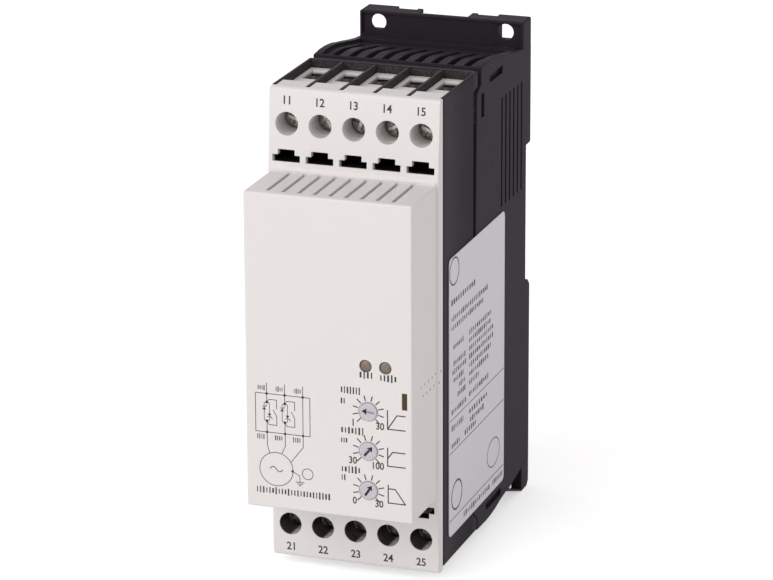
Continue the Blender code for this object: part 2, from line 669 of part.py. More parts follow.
cage = from_bmesh("cage", cage_shape, STEEL)
cut(cage, tool_of("cage_inside", (block, (-CAGE_WIDTH / 2 + CAGE_SIDE, CAGE_WIDTH / 2 - CAGE_SIDE),
                                  (SEAT_DEPTH + CAGE_END, SEAT_DEPTH + CAGE_END + CAGE_INSIDE),
                                  (RAIL_RISE - CAGE_HEIGHT, RAIL_RISE + CAGE_HEIGHT))),
    tool_of("cage_thread", (rod, 0.0, RAIL_RISE, (SEAT_DEPTH - 0.001, SEAT_DEPTH + CAGE_END + 0.001),
                            SCREW_SHANK / 2 + GAP, 16)))
cage_mesh = settled(cage, "clamp_cage")
for piece in (screw, cage):
    bpy.data.objects.remove(piece, do_unlink=True)
for name in ("screw_shank", "screw_slot", "screw_cross", "cage_inside", "cage_thread"):
    bpy.data.objects.remove(bpy.data.objects[name], do_unlink=True)
for side, word, row, hood_edge in SIDES:
    for number, x in enumerate(CELL_X, start=1):
        screw = add_object(f"{word}_screw_{number}", screw_mesh, STEEL)
        screw.location = (x, y_of(SCREW_HEAD_DEPTH), z_of(side * row))
        screw.rotation_euler = (0.0, math.radians(38 + 47 * number + 20 * side), 0.0)
        cage = add_object(f"{word}_clamp_{number}", cage_mesh, STEEL)
        cage.location = (x, y_of(CAGE_FRONT), z_of(side * row))
        bar_shape = bmesh.new()
        block(bar_shape, (x - BAR_WIDTH / 2, x + BAR_WIDTH / 2), (BAR_FRONT, BAR_REAR),
              (side * (row + CAGE_HEIGHT / 2 - GAP), side * (hood_edge - COVER_WALL - BAR_OVERLAP)))
        from_bmesh(f"{word}_bar_{number}", bar_shape, COPPER)
screw_mesh.shade_smooth()
screw_mesh.set_sharp_from_angle(angle=math.radians(35))

# Boards
board_half = HALF - MIDDLE_WALL - 0.0005
power_shape = bmesh.new()
block(power_shape, (-board_half, board_half), (POWER_BOARD_FRONT, POWER_BOARD_REAR),
      (-HOOD_BOTTOM + COVER_WALL + GAP, HOOD_TOP - COVER_WALL - GAP))
from_bmesh("power_board", power_shape, BOARD_GREEN)
control_half = hood_half - COVER_WALL - GAP
control_shape = bmesh.new()
block(control_shape, (-control_half, control_half), (BOARD_DEPTH, BOARD_DEPTH + BOARD),
      (-HOOD_BOTTOM + COVER_WALL + GAP, HOOD_TOP - COVER_WALL - GAP))
control_board = from_bmesh("control_board", control_shape, BOARD_GREEN)
HEADER_WIDTH = 0.0200
HEADER_HEIGHT = 0.0050
header_low = RELAY_HEIGHT / 2 + 0.0030
join(control_board, tool_of(
    "board_header",
    (block, (-HEADER_WIDTH / 2, HEADER_WIDTH / 2), (BOARD_DEPTH + BOARD / 2, POWER_BOARD_FRONT - GAP),
     (header_low, header_low + HEADER_HEIGHT))))

# Dials turn in their potentiometers
pot_front = PANEL + GAP
dial_names = ("start_time", "start_voltage", "stop_time")
dial_angles = (-85, 40, 33)
dial_shape = bmesh.new()
rod(dial_shape, 0.0, RAIL_RISE, (SEAT_DEPTH - DIAL_PROUD, SEAT_DEPTH + DIAL_LENGTH), DIAL / 2, 28)
dial = from_bmesh("dial", dial_shape, DIAL_PLASTIC)
arrow = front_shape("arrow", [
    (0.0, RAIL_RISE + DIAL * 0.40), (-DIAL * 0.26, RAIL_RISE + DIAL * 0.04),
    (-DIAL * 0.085, RAIL_RISE + DIAL * 0.09), (-DIAL * 0.085, RAIL_RISE - DIAL * 0.40),
    (DIAL * 0.085, RAIL_RISE - DIAL * 0.40), (DIAL * 0.085, RAIL_RISE + DIAL * 0.09),
    (DIAL * 0.26, RAIL_RISE + DIAL * 0.04),
], (SEAT_DEPTH - DIAL_PROUD - 0.001, SEAT_DEPTH - DIAL_PROUD + DIAL_ARROW), tool=True)
cut(dial, arrow)
dial_mesh = settled(dial, "dial")
bpy.data.objects.remove(dial, do_unlink=True)
bpy.data.objects.remove(arrow, do_unlink=True)
for name, angle, height in zip(dial_names, dial_angles, dial_heights):
    dial = add_object(name + "_dial", dial_mesh, DIAL_PLASTIC)
    dial.location = (dial_x, y_of(0.0), z_of(height))
    dial.rotation_euler = (0.0, math.radians(angle), 0.0)
    pot_shape = bmesh.new()
    block(pot_shape, (dial_x - POT / 2, dial_x + POT / 2), (pot_front, BOARD_DEPTH - GAP),
          (height - POT / 2, height + POT / 2))
    pot = from_bmesh(name + "_potentiometer", pot_shape, MODULE)
    cut(pot, tool_of(name + "_bore", (rod, dial_x, height, (pot_front - 0.001, DIAL_LENGTH + GAP),
                                      DIAL / 2 + GAP, 28)))
dial_mesh.shade_smooth()
dial_mesh.set_sharp_from_angle(angle=math.radians(35))

# Light guides and the small brown signal piece
for name, x in zip(("run_light", "fault_light"), light_x):
    guide_shape = bmesh.new()
    rod(guide_shape, x, light_height, (0.0001, BOARD_DEPTH - GAP), LIGHT / 2, 24)
    guide = from_bmesh(name, guide_shape, LIGHT_PLASTIC)
    join(guide, tool_of(name + "_collar", (rod, x, light_height, (PANEL + GAP, PANEL + GAP + 0.001),
                                           LIGHT_COLLAR / 2, 24)))
    smooth(guide)
signal_shape = bmesh.new()
block(signal_shape, (signal_x - SIGNAL_WIDTH / 2, signal_x + SIGNAL_WIDTH / 2), (0.0002, SIGNAL_POCKET - GAP / 2),
      (signal_height - SIGNAL_LENGTH / 2, signal_height + SIGNAL_LENGTH / 2))
from_bmesh("signal_window", signal_shape, SIGNAL_PLASTIC)

# Bypass relays on the power board
for name, side in (("bypass_relay_1", -1), ("bypass_relay_2", 1)):
    relay_shape = bmesh.new()
    near = RELAY_SPACE / 2
    block(relay_shape, (side * near, side * (HALF - MIDDLE_WALL - RELAY_SIDE)),
          (POWER_BOARD_FRONT - GAP - RELAY_THICK, POWER_BOARD_FRONT - GAP), (-RELAY_HEIGHT / 2, RELAY_HEIGHT / 2))
    relay = from_bmesh(name, relay_shape, RELAY)
    bevel(relay, 0.0006, 1)

# Thyristor modules between the board and the heat sink
module_half = HALF - BASE_WALL - MODULE_SIDE
module_end = min(HOOD_TOP, HOOD_BOTTOM) - COVER_WALL - MODULE_ROOM
for name, side in (("thyristor_module_1", 1), ("thyristor_module_2", -1)):
    module_shape = bmesh.new()
    near = MODULE_SPACE / 2
    block(module_shape, (-module_half, module_half), (MODULE_FRONT, MODULE_REAR),
          (side * near, side * module_end))
    module = from_bmesh(name, module_shape, MODULE)
    bevel(module, 0.0008, 1)

# Mounting base: one moulded shell with shoulders, grilles, flange and foot
shoulder = EDGE + SHOULDER_PROUD
rear_half = shoulder - SHOULDER_DROP
top = HEIGHT / 2
front_top = TOP_BAR_DEPTH + SEAM_TOP
flange_root = FLANGE_FRONT + 0.0004
# Shares of the way back and of the drop, along one gentle S
SHOULDER_CURVE = [(0.128, 0.0), (0.240, 0.02), (0.355, 0.11), (0.466, 0.29), (0.520, 0.36),
                  (0.729, 0.68), (0.855, 0.85), (1.0, 1.0)]
shoulders = [(front_top + back * (flange_root - front_top), shoulder - down * SHOULDER_DROP)
             for back, down in SHOULDER_CURVE]
slope_start = shoulders[5][0]
front_upper = SEAM_DEPTH + SEAM_TOP
front_lower = SEAM_DEPTH + SEAM_BOTTOM
front_bottom = TOP_BAR_DEPTH + SEAM_BOTTOM
base = side_shape("mounting_base", [
    (front_top, EDGE - LEDGE_DROP - SEAM_JOG),
    (front_top, shoulder - 0.0004),
    *shoulders,
    (DEPTH, rear_half),
    (DEPTH, SEAT_TOP + RAIL_CHAMFER_TOP),
    (DEPTH - RAIL_CHAMFER_TOP, SEAT_TOP),
    (SEAT_DEPTH, SEAT_TOP),
    (SEAT_DEPTH, SEAT_BOTTOM),
    (DEPTH - RAIL_CHAMFER_BOTTOM, SEAT_BOTTOM),
    (DEPTH, SEAT_BOTTOM - RAIL_CHAMFER_BOTTOM),
    (DEPTH, -top + FOOT_CHAMFER),
    (DEPTH - FOOT_CHAMFER, -top),
    (FLANGE_FRONT + FOOT_CHAMFER, -top),
    (slope_start - FOOT_LEAD, -shoulders[5][1] - FOOT_WEB),
    *[(depth, -height) for depth, height in reversed(shoulders[:5])],
    (front_bottom, -shoulder + 0.0002),
    (front_bottom, -EDGE + LEDGE_DROP - SEAM_JOG / 2),
    (front_lower, -EDGE + LEDGE_DROP + 3 * SEAM_JOG),
    (front_upper, EDGE - LEDGE_DROP - 2 * SEAM_JOG - 0.0010),
], (-HALF, HALF), BLACK)
bevel(base, EDGE_ROUND, 2, 50)

inner_half = HALF - BASE_WALL
SKIN = 0.0026
cavity_top = [(depth, height - SKIN) for depth, height in shoulders]
cavity_top[-1] = (CAVITY_REAR, rear_half - SKIN - 0.0004)
cavity_line = [(SEAM_DEPTH - CAVITY_REACH, shoulder - SKIN)] + cavity_top
cut(base, side_shape("base_cavity", cavity_line + [(d, -h) for d, h in reversed(cavity_line)],
                     (-inner_half, inner_half), tool=True))

# Tongues and the front bar reach under the housing's edge
tongue_out = HALF - MIDDLE_WALL - GAP / 2
tongue_top = HOOD_TOP - COVER_WALL - GAP
tongue_bottom = -HOOD_BOTTOM + COVER_WALL + GAP
TONGUE_REACH = 0.0022
wall_clear = SEAM_DEPTH + GAP
tongue_rear = HEAT_FRONT - GAP
for side, word in ((1, "right"), (-1, "left")):
    join(base, side_shape(word + "_tongue", [
        (wall_clear - TONGUE_REACH, tongue_bottom), (wall_clear - TONGUE_REACH, tongue_top),
        (wall_clear, tongue_top), (wall_clear, EDGE - LEDGE_DROP - 0.0030),
        (tongue_rear, EDGE - LEDGE_DROP - 0.0030), (tongue_rear, -EDGE + LEDGE_DROP + 0.0030),
        (wall_clear, -EDGE + LEDGE_DROP + 0.0030), (wall_clear, tongue_bottom),
    ], (side * (tongue_out - TONGUE), side * tongue_out), tool=True))
join(base, side_shape("front_bar", [
    (TOP_BAR_DEPTH + GAP, EDGE - LEDGE_DROP), (TOP_BAR_DEPTH + GAP, EDGE - GAP),
    (front_top + 0.0020, EDGE - GAP), (front_top + 0.0020, EDGE - LEDGE_DROP),
], (-tongue_out, tongue_out), tool=True))

# Shallow dips with grille slots on the top and the bottom
grille_room = WIDTH - 2 * BASE_WALL
slots = []
for side, word in ((1, "top"), (-1, "bottom")):
    line = [(depth, side * (height - GRILLE_DIP)) for depth, height in shoulders[:-1]]
    line[0] = (front_top + 0.0008, side * (shoulder - GRILLE_DIP))
    last = shoulders[-2] if side > 0 else shoulders[4]
    if side < 0:
        line = line[:5]
    cut(base, side_shape(word + "_dip", line + [(last[0], side * (top + 0.001)), (line[0][0], side * (top + 0.001))],
                         (-inner_half, inner_half), tool=True))
    for x in spread(GRILLE_PITCH, grille_room - GRILLE_PITCH / 2 + 0.0010):
        slots.append((block, (x - GRILLE_SLOT / 2, x + GRILLE_SLOT / 2),
                      (shoulders[1][0] + GRILLE_SETBACK, shoulders[4][0] + GRILLE_OVER if side > 0 else shoulders[3][0]),
                      (side * (rear_half - 0.0040), side * (top + 0.001))))
cut(base, tool_of("grilles", *slots))

# Vents and small slots in both side walls
vents = []
vent_top = shoulder - VENT_DROP
vent_bottom = vent_top - VENT_LENGTH
vent_rear = FLANGE_FRONT - VENT_EDGE
vent_count = 1 + max(0, int((vent_rear - front_upper - VENT_SETBACK) / VENT_PITCH))
pry_front = front_upper + PRY_SETBACK
pry_top = shoulder - PRY_DROP
mark_rear = FLANGE_FRONT - MARK_REAR
for side in (1, -1):
    reach = (side * (inner_half - 0.002), side * (HALF + 0.001))
    for i in range(vent_count):
        depth = vent_rear - i * VENT_PITCH
        vents.append((block, reach, (depth - VENT / 2, depth + VENT / 2), (vent_bottom, vent_top)))
    vents.append((block, reach, (pry_front, pry_front + VENT), (pry_top - PRY_LENGTH, pry_top)))
    shallow = (side * (HALF - BASE_WALL / 2), side * (HALF + 0.001))
    vents.append((block, shallow, (front_top + MARK_FRONT, mark_rear),
                  (shoulder - MARK_DROP, shoulder - MARK_DROP - MARK_HEIGHT)))
    vents.append((block, shallow, (front_bottom + MARK_FRONT, mark_rear),
                  (-shoulder + MARK_DROP - GRILLE_DIP, -shoulder + MARK_DROP - GRILLE_DIP + MARK_HEIGHT)))
cut(base, tool_of("side_vents", *vents))

# Flange: a thin plate with a rim, hollow behind, two fixing holes
flange = tool_of("flange", (block, (-HALF, HALF), (FLANGE_FRONT, DEPTH), (rear_half - 0.0010, top)))
bevel(flange, EDGE_ROUND, 1)
join(base, flange)
LIP = 0.0007
LIP_REACH = 0.0025          # ledge in front of the flange
lip_half = HALF - BASE_WALL * 0.75
join(base, tool_of("flange_lip", (block, (-lip_half, lip_half), (FLANGE_FRONT - LIP_REACH, FLANGE_FRONT + 0.0005),
                                  (rear_half - 0.0015, rear_half + LIP))))
hole_x = HALF - HOLE_EDGE
BOSS = 0.0008               # wall between a fixing hole and the hollow beside it
rib_x = hole_x - FIXING_HOLE / 2 - BOSS
wall_x = HALF - FLANGE_WALL
RIB = 0.0010
plate_rear = FLANGE_FRONT + FLANGE_PLATE
hollow_low = rear_half + LIP + 0.0001
hollow_high = top - FLANGE_WALL
cut(base, tool_of(
    "flange_hollows",
    (block, (-wall_x, -rib_x), (plate_rear, DEPTH + 0.001), (hollow_low, hollow_high)),
    (block, (-rib_x + RIB, rib_x - RIB), (plate_rear, DEPTH + 0.001), (hollow_low, hollow_high)),
    (block, (rib_x, wall_x), (plate_rear, DEPTH + 0.001), (hollow_low, hollow_high))))
NOTCH = 0.0068
NOTCH_RIDGE = 0.0015
NOTCH_LAND = 0.0007         # step's end before the rib
RIDGE_DROP = 0.0010
STEP_DROP = 0.0023
ridge_x = NOTCH + NOTCH_RIDGE
step_x = rib_x - NOTCH_LAND
ridge_depth = DEPTH - RIDGE_DROP
step_depth = DEPTH - STEP_DROP
cut(base, plan_shape("flange_notches", [
    (-step_x, DEPTH + 0.001), (-step_x, step_depth), (-ridge_x, step_depth), (-ridge_x, ridge_depth),
    (-NOTCH, ridge_depth), (-NOTCH, plate_rear), (NOTCH, plate_rear), (NOTCH, ridge_depth),
    (ridge_x, ridge_depth), (ridge_x, step_depth), (step_x, step_depth), (step_x, DEPTH + 0.001),
], (hollow_high - 0.0005, top + 0.001), tool=True))
face = FLANGE_FRONT
end_x = HALF - FLANGE_RIM
panel_x = rib_x
FACE_DIP = 0.0009           # round the fixing holes
PANEL_DIP = 0.0003          # between them
panel_end = panel_x - BOSS
cut(base, plan_shape("flange_face", [
    (-end_x, face - 0.001), (-end_x, face + FACE_DIP), (-panel_x, face + FACE_DIP), (-panel_end, face + PANEL_DIP),
    (panel_end, face + PANEL_DIP), (panel_x, face + FACE_DIP), (end_x, face + FACE_DIP), (end_x, face - 0.001),
], (rear_half + LIP + 0.0001, top - FLANGE_RIM), tool=True))

# Fixing holes in the flange, open slots and side pockets in the foot
hole_height = top - FIXING_EDGE
fixing = [(rod, side * hole_x, hole_height, (FLANGE_FRONT - 0.001, DEPTH + 0.001), FIXING_HOLE / 2, 28)
          for side in (-1, 1)]
cut(base, tool_of("fixing_holes", *fixing))
pocket_depth = FLANGE_FRONT + BOSS
for side, word in ((1, "right"), (-1, "left")):
    cut(base, side_shape(word + "_foot_pocket", [
        (pocket_depth, -rear_half),
        (slope_start - FOOT_LEAD / 2, -shoulders[5][1] - FOOT_WEB),
        (pocket_depth, -top + FOOT_WEB),
    ], (side * (HALF - FOOT_POCKET), side * (HALF + 0.001)), tool=True))
foot_plate = pocket_depth + FLANGE_PLATE
foot_cuts = []
for side in (-1, 1):
    x = side * hole_x
    foot_cuts.append((block, (x - FIXING_HOLE / 2, x + FIXING_HOLE / 2), (slope_start, DEPTH + 0.001),
                      (-hole_height, -top - 0.001)))
cut(base, tool_of("foot_slots", *foot_cuts))
cut(base, tool_of("foot_slot_ends", *[
    (rod, side * hole_x, -hole_height, (pocket_depth - 0.0005, DEPTH + 0.001), FIXING_HOLE / 2, 28)
    for side in (-1, 1)]))
cut(base, tool_of("foot_hollows", *[
    (block, (side * rib_x, side * wall_x), (foot_plate, DEPTH + 0.001), (-hollow_low, -hollow_high))
    for side in (-1, 1)]))

# Pockets in the thick rear wall, with ribs between
pocket_front = DEPTH - REAR_POCKET
RIB_WIDE = 0.0015
POCKET_EDGE = 0.0008
POCKET_LAND = 0.0030        # from the pockets to the seat and to the ends
channel_half = LATCH_WIDTH / 2 + SLIDE_GAP
groove_half = channel_half + LATCH_WING
third = (2 * inner_half - 2 * RIB_WIDE) / 3
rear_fills = []
for i in range(3):
    low = -inner_half + POCKET_EDGE + i * (third + RIB_WIDE)
    rear_fills.append((block, (low, low + third - 2 * POCKET_EDGE), (pocket_front, DEPTH + 0.001),
                       (SEAT_TOP + POCKET_LAND + GRILLE_DIP, rear_half - POCKET_LAND)))
zone_top = SEAT_BOTTOM - RAIL_CHAMFER_BOTTOM - POCKET_LAND
zone_bottom = -rear_half + POCKET_LAND
zone = (zone_top - zone_bottom - RIB_WIDE) / 2
for side in (-1, 1):
    for i in range(2):
        high = zone_top - i * (zone + RIB_WIDE)
        rear_fills.append((block, (side * (groove_half + RIB_WIDE), side * (inner_half - POCKET_EDGE)),
                           (pocket_front, DEPTH + 0.001), (high, high - zone)))
cut(base, tool_of("rear_pockets", *rear_fills))

# Rail hook, latch channel and the peg that holds the spring; the seat dips opposite the hook and the nose
hook_half = HALF - HOOK_EDGE
latch_top = SEAT_BOTTOM + LATCH_PLAY
cut(base, tool_of(
    "seat_reliefs",
    (block, (-hook_half - GAP, hook_half + GAP), (SEAT_DEPTH - SEAT_RELIEF, SEAT_DEPTH + RAIL_PLATE / 2),
     (SEAT_TOP - HOOK_LIP - GAP, SEAT_TOP + SEAT_UNDERCUT)),
    (block, (-channel_half, channel_half), (SEAT_DEPTH - SEAT_RELIEF, SEAT_DEPTH + SEAT_RELIEF),
     (SEAT_BOTTOM - SEAT_RELIEF, latch_top + LATCH_OVERLAP + GAP))))
join(base, side_shape("rail_hook", [
    (SEAT_DEPTH + RAIL_PLATE, SEAT_TOP + 0.0008),
    (SEAT_DEPTH + RAIL_PLATE, SEAT_TOP - HOOK_LIP + 0.0003),
    (SEAT_DEPTH + RAIL_PLATE + 0.0004, SEAT_TOP - HOOK_LIP),
    (DEPTH - 0.0001, SEAT_TOP - HOOK_LIP + 0.0014),
    (DEPTH - 0.0001, SEAT_TOP + 0.0008),
], (-hook_half, hook_half), tool=True))
channel_floor = SEAT_DEPTH + GAP
latch_front = channel_floor + SLIDE_GAP
wing_rear = latch_front + LATCH_WING_THICK
cut(base, plan_shape("latch_channel", [
    (-groove_half, channel_floor), (groove_half, channel_floor), (groove_half, wing_rear + SLIDE_GAP),
    (channel_half, wing_rear + SLIDE_GAP), (channel_half, DEPTH + 0.001), (-channel_half, DEPTH + 0.001),
    (-channel_half, wing_rear + SLIDE_GAP), (-groove_half, wing_rear + SLIDE_GAP),
], (-top - 0.001, SEAT_BOTTOM + 0.001), tool=True))
PEG_HALF = 0.0019
window_top = SEAT_BOTTOM - WINDOW_DROP
spring_top = window_top - GAP
spring_bottom = spring_top - SPRING_LENGTH
peg_top = spring_bottom - GAP
peg_bottom = peg_top - PEG
latch_rear = latch_front + LATCH_THICK
join(base, tool_of("spring_peg", (block, (-PEG_HALF, PEG_HALF), (channel_floor - 0.0005, latch_rear - 0.0002),
                                  (peg_bottom, peg_top))))

# Heat sink: one extrusion, fins along the air flow
heat_half = inner_half - GAP
fin_rear = CAVITY_REAR - GAP
comb = [(-heat_half, HEAT_FRONT), (heat_half, HEAT_FRONT)]
fins = spread(HEAT_PITCH, 2 * heat_half - HEAT_FIN + 0.0001)
plate = HEAT_FRONT + HEAT_PLATE
comb.append((heat_half, plate))
for x in reversed(fins):
    comb += [(x + HEAT_FIN / 2, plate), (x + HEAT_FIN / 2, fin_rear), (x - HEAT_FIN / 2, fin_rear),
             (x - HEAT_FIN / 2, plate)]
comb.append((-heat_half, plate))
heat_top = rear_half - SKIN - 0.0004 - GAP
plan_shape("heat_sink", comb, (-heat_top, heat_top), ALUMINIUM)

# Rail latch: a winged slide with a nose, a window for the spring and a slot for the driver
latch_half = LATCH_WIDTH / 2
wing_half = latch_half + LATCH_WING
latch_bottom = -top + LATCH_END
latch_shape = plan_shape("rail_latch", [
    (-wing_half, latch_front), (wing_half, latch_front), (wing_half, wing_rear), (latch_half, wing_rear),
    (latch_half, latch_rear), (-latch_half, latch_rear), (-latch_half, wing_rear), (-wing_half, wing_rear),
], (latch_bottom, SEAT_BOTTOM - 0.0010), LATCH_PLASTIC)
nose_front = SEAT_DEPTH + RAIL_PLATE
join(latch_shape, side_shape("latch_nose", [
    (nose_front, SEAT_BOTTOM - 0.0030), (nose_front, latch_top + LATCH_OVERLAP - 0.0003),
    (nose_front + 0.0004, latch_top + LATCH_OVERLAP), (latch_rear - 0.0001, latch_top + 0.0003),
    (latch_rear - 0.0001, SEAT_BOTTOM - 0.0030),
], (-latch_half + 0.0001, latch_half - 0.0001), tool=True))
WINDOW_HALF = PEG_HALF + SLIDE_GAP
cut(latch_shape, tool_of(
    "latch_windows",
    (block, (-WINDOW_HALF, WINDOW_HALF), (latch_front - 0.001, latch_rear + 0.001),
     (peg_bottom - SLIDE_GAP, window_top)),
    (block, (-LATCH_SLOT / 2, LATCH_SLOT / 2), (latch_front - 0.001, latch_rear + 0.001),
     (latch_bottom + LATCH_SLOT_LOW, latch_bottom + LATCH_SLOT_LOW + LATCH_SLOT_HEIGHT))))

# Latch spring: a coil along the slide
spring_curve = bpy.data.curves.new("latch_spring", 'CURVE')
spring_curve.dimensions = '3D'
spring_curve.bevel_depth = SPRING_WIRE
spring_curve.bevel_resolution = 1
spring_curve.use_fill_caps = True
coil = spring_curve.splines.new('POLY')
STEPS = 10
count = SPRING_TURNS * STEPS + 1
coil.points.add(count - 1)
spring_axis = (latch_front + latch_rear) / 2
for i, point in enumerate(coil.points):
    share = i / (count - 1)
    turn = 2 * math.pi * i / STEPS
    rise = spring_bottom + SPRING_WIRE + share * (SPRING_LENGTH - 2 * SPRING_WIRE)
    point.co = (SPRING_RADIUS * math.cos(turn), y_of(spring_axis) + SPRING_RADIUS * math.sin(turn), z_of(rise), 1.0)
spring_holder = bpy.data.objects.new("spring_curve", spring_curve)
TOOLS.objects.link(spring_holder)
spring_mesh = settled(spring_holder, "latch_spring")
bpy.data.objects.remove(spring_holder, do_unlink=True)
bpy.data.curves.remove(spring_curve)
spring_shape = bmesh.new()
spring_shape.from_mesh(spring_mesh)
bmesh.ops.remove_doubles(spring_shape, verts=spring_shape.verts, dist=1e-6)
latch_spring = from_bmesh("latch_spring", spring_shape, SPRING_STEEL)
smooth(latch_spring, 60)

# Side label over the housing and the base
LABEL_GAP = 0.0001
label_front = HOUSING_FRONT + LABEL_SETBACK
label_rear = FLANGE_FRONT - LABEL_END
label_top = vent_bottom - LABEL_BELOW
label_bottom = -EDGE + LABEL_RISE
label_points = []
for centre, start in (((label_rear - LABEL_ROUND, label_top - LABEL_ROUND), 0),
                      ((label_front + LABEL_ROUND, label_top - LABEL_ROUND), 90),
                      ((label_front + LABEL_ROUND, label_bottom + LABEL_ROUND), 180),
                      ((label_rear - LABEL_ROUND, label_bottom + LABEL_ROUND), 270)):
    label_points += arc(centre, LABEL_ROUND, start, start + 90, 4)
side_shape("side_label", label_points, (HALF + LABEL_GAP, HALF + LABEL_GAP + LABEL_THICK), LABEL)
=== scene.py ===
"""Looks for a 45 mm soft starter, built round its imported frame.

Metres, +X to the right, +Y to the rear, +Z up. A place on the device is given as x, a depth
behind the front of the hood, and a height above the middle of the device. Print is drawn in mm.
"""
import json
import math

import bmesh
import bpy
from mathutils import Matrix, Vector
from mathutils.bvhtree import BVHTree

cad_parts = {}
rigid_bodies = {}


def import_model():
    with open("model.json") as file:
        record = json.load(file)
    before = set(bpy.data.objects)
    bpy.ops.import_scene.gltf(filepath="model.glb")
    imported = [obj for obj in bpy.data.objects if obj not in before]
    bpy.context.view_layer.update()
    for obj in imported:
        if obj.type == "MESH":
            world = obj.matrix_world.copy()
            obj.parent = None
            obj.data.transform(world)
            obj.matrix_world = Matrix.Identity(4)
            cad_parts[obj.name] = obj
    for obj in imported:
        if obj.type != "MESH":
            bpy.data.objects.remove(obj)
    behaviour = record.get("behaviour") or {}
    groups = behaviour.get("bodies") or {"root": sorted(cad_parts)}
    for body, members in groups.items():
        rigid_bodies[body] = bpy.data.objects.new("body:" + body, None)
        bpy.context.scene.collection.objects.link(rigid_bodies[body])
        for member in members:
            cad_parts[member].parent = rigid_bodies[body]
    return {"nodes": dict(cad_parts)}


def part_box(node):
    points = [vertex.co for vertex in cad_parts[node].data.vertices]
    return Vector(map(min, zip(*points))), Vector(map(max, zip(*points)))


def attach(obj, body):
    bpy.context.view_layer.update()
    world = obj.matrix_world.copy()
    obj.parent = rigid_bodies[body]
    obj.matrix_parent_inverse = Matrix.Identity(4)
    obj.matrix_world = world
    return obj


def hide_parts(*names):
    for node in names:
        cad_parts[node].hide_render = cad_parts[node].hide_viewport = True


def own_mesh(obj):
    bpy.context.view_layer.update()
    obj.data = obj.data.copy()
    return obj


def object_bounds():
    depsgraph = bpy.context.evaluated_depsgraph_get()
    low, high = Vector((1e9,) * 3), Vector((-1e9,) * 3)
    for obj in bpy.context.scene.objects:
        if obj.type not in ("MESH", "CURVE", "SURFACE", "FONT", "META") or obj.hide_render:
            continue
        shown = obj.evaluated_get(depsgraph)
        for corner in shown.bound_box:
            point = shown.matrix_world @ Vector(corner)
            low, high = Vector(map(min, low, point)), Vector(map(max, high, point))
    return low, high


bl_info = {
    "name": "Soft starter looks",
    "version": (1, 0, 0),
    "blender": (4, 5, 0),
    "location": "View3D > Sidebar > Soft starter",
    "description": "Finishes, print and small parts of a 45 mm soft starter on its packed frame",
    "category": "Object",
}

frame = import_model()
CAD_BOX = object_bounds()
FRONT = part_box("front_cover")[0].y
MIDDLE = (CAD_BOX[0].z + CAD_BOX[1].z) / 2
RIGHT = Vector((1, 0, 0))
REAR = Vector((0, 1, 0))
UP = Vector((0, 0, 1))
MM = 0.001

ROOT = "starter"
ROWS = ("upper", "lower")
DIALS = ("start_time", "start_voltage", "stop_time")
LIGHTS = ("run_light", "fault_light")
CELLS = 5
CELL_PITCH = 0.0088

# Each dial: how far its arrow is turned at rest, in degrees, and how deep the arrow's shaft is cut
DIAL_TURNS = (-85, 40, 33)
SHAFT_DEPTHS = (0.00045, 0.00068, 0.00080)

# Screws: the head's share of its box, its thickness, half its slot's width, the shank and the thread
HEAD_SHARE = 0.995
HEAD_THICK = 0.0020
SLOT_HALF = 0.0004
SHANK = 0.00150
THREAD = 0.00170

# Rounds on small parts, and the latch spring
CAGE_ROUND = 0.0001
SIGNAL_ROUND = 0.00008
SPRING_WIRE = 0.0002
SPRING_EASE = 0.035

# The x from which a point is on the outside of a side wall
SIDE_WALL = 0.0221

# Painted shade on the cover: heights of the test slots and the depths behind which they are painted dark,
# their pale left ends across the cell, and the lower driver holes with painted shade and painted light
UPPER_SLOTS = (0.04265, 0.04585)
UPPER_SLOT_DEPTH = 0.01940
LOWER_SLOTS = (-0.04765, -0.04445)
LOWER_SLOT_DEPTH = 0.01915
SLOT_END = (-0.0037, -0.0034)
SLOT_STEP = (-0.0024, -0.0020)
SLOT_STEP_HEIGHT = 0.0443
SLOT_PALE_DEPTH = 0.0207
HOLE_REACH = 0.0032
HOLE_DEPTH = 0.01935
SLOT_PAINTED_SHADE = (0.006, 0.005, 0.005)

# The housing: the cells with their pale grain, and on the outside of the side walls a painted sheen in front and
# painted shade at the seam
CELL_DEPTHS = (0.0240, 0.0500)
CELL_HEIGHT = 0.048
WALL_DEPTHS = (0.0, 0.0464)
WALL_PAINTED_SHEEN = (0.036, 0.024)
WALL_PAINTED_SHADE = (0.028, 0.046)

# Painted shade on the inserts: the height up to which they are painted dark, the funnels, lighter on their left walls,
# and the driver holes
POCKET_REACH = 0.0468
THROAT_HEIGHT = 0.0557
THROAT_EDGE = (0.0592, 0.0584)
THROAT_SIDE = (-0.0024, -0.0008)
INSERT_HOLES = (-0.0567, -0.0503)
INSERT_HOLE_DEPTH = 0.0262

# Slots cut in the mounting base
GRILLE_SLOTS = range(-4, 5)
GRILLE_PITCH = 0.0044
GRILLE_HALF = 0.00095
GRILLE_LOW = 0.0540
GRILLE_HIGH = 0.0640
GRILLE_START = 0.0094
GRILLE_END = 0.0335
PRY_TOP = 0.0548
PRY_LENGTH = 0.0062
PRY_START = 0.0527
PRY_END = 0.0550
PRY_INNER = 0.0204
PRY_OUTER = 0.0230

# The seam between the housing and the base: its step, its gap, and the ribs behind it with their heights
SEAM_JOG = 0.0034
SEAM_GAP = 0.0003
RIB_X = 0.02195
RIB_HALF = 0.0002
INNER_RIBS = ((0.0360, 0.0570), (-0.0570, -0.0360))
OUTER_RIBS = ((0.0574, 0.0610), (-0.0610, -0.0574))

# Print
INK_SINK = 0.00001
STRIP_PRINT = {"upper": 0.0583, "lower": -0.0596}

# Camera fitted to the photograph: lens in mm on a 36 mm sensor, turns in degrees
SENSOR = 36.0
LENS = 188.011
EYE = (0.323764, -0.974361, 0.307350)
YAW = 19.253
DOWN = 17.853
ROLL = -0.258


def spot(x, depth, height):
    """World place of an x, a depth behind the hood's front and a height above the middle."""
    return Vector((x, FRONT + depth, MIDDLE + height))


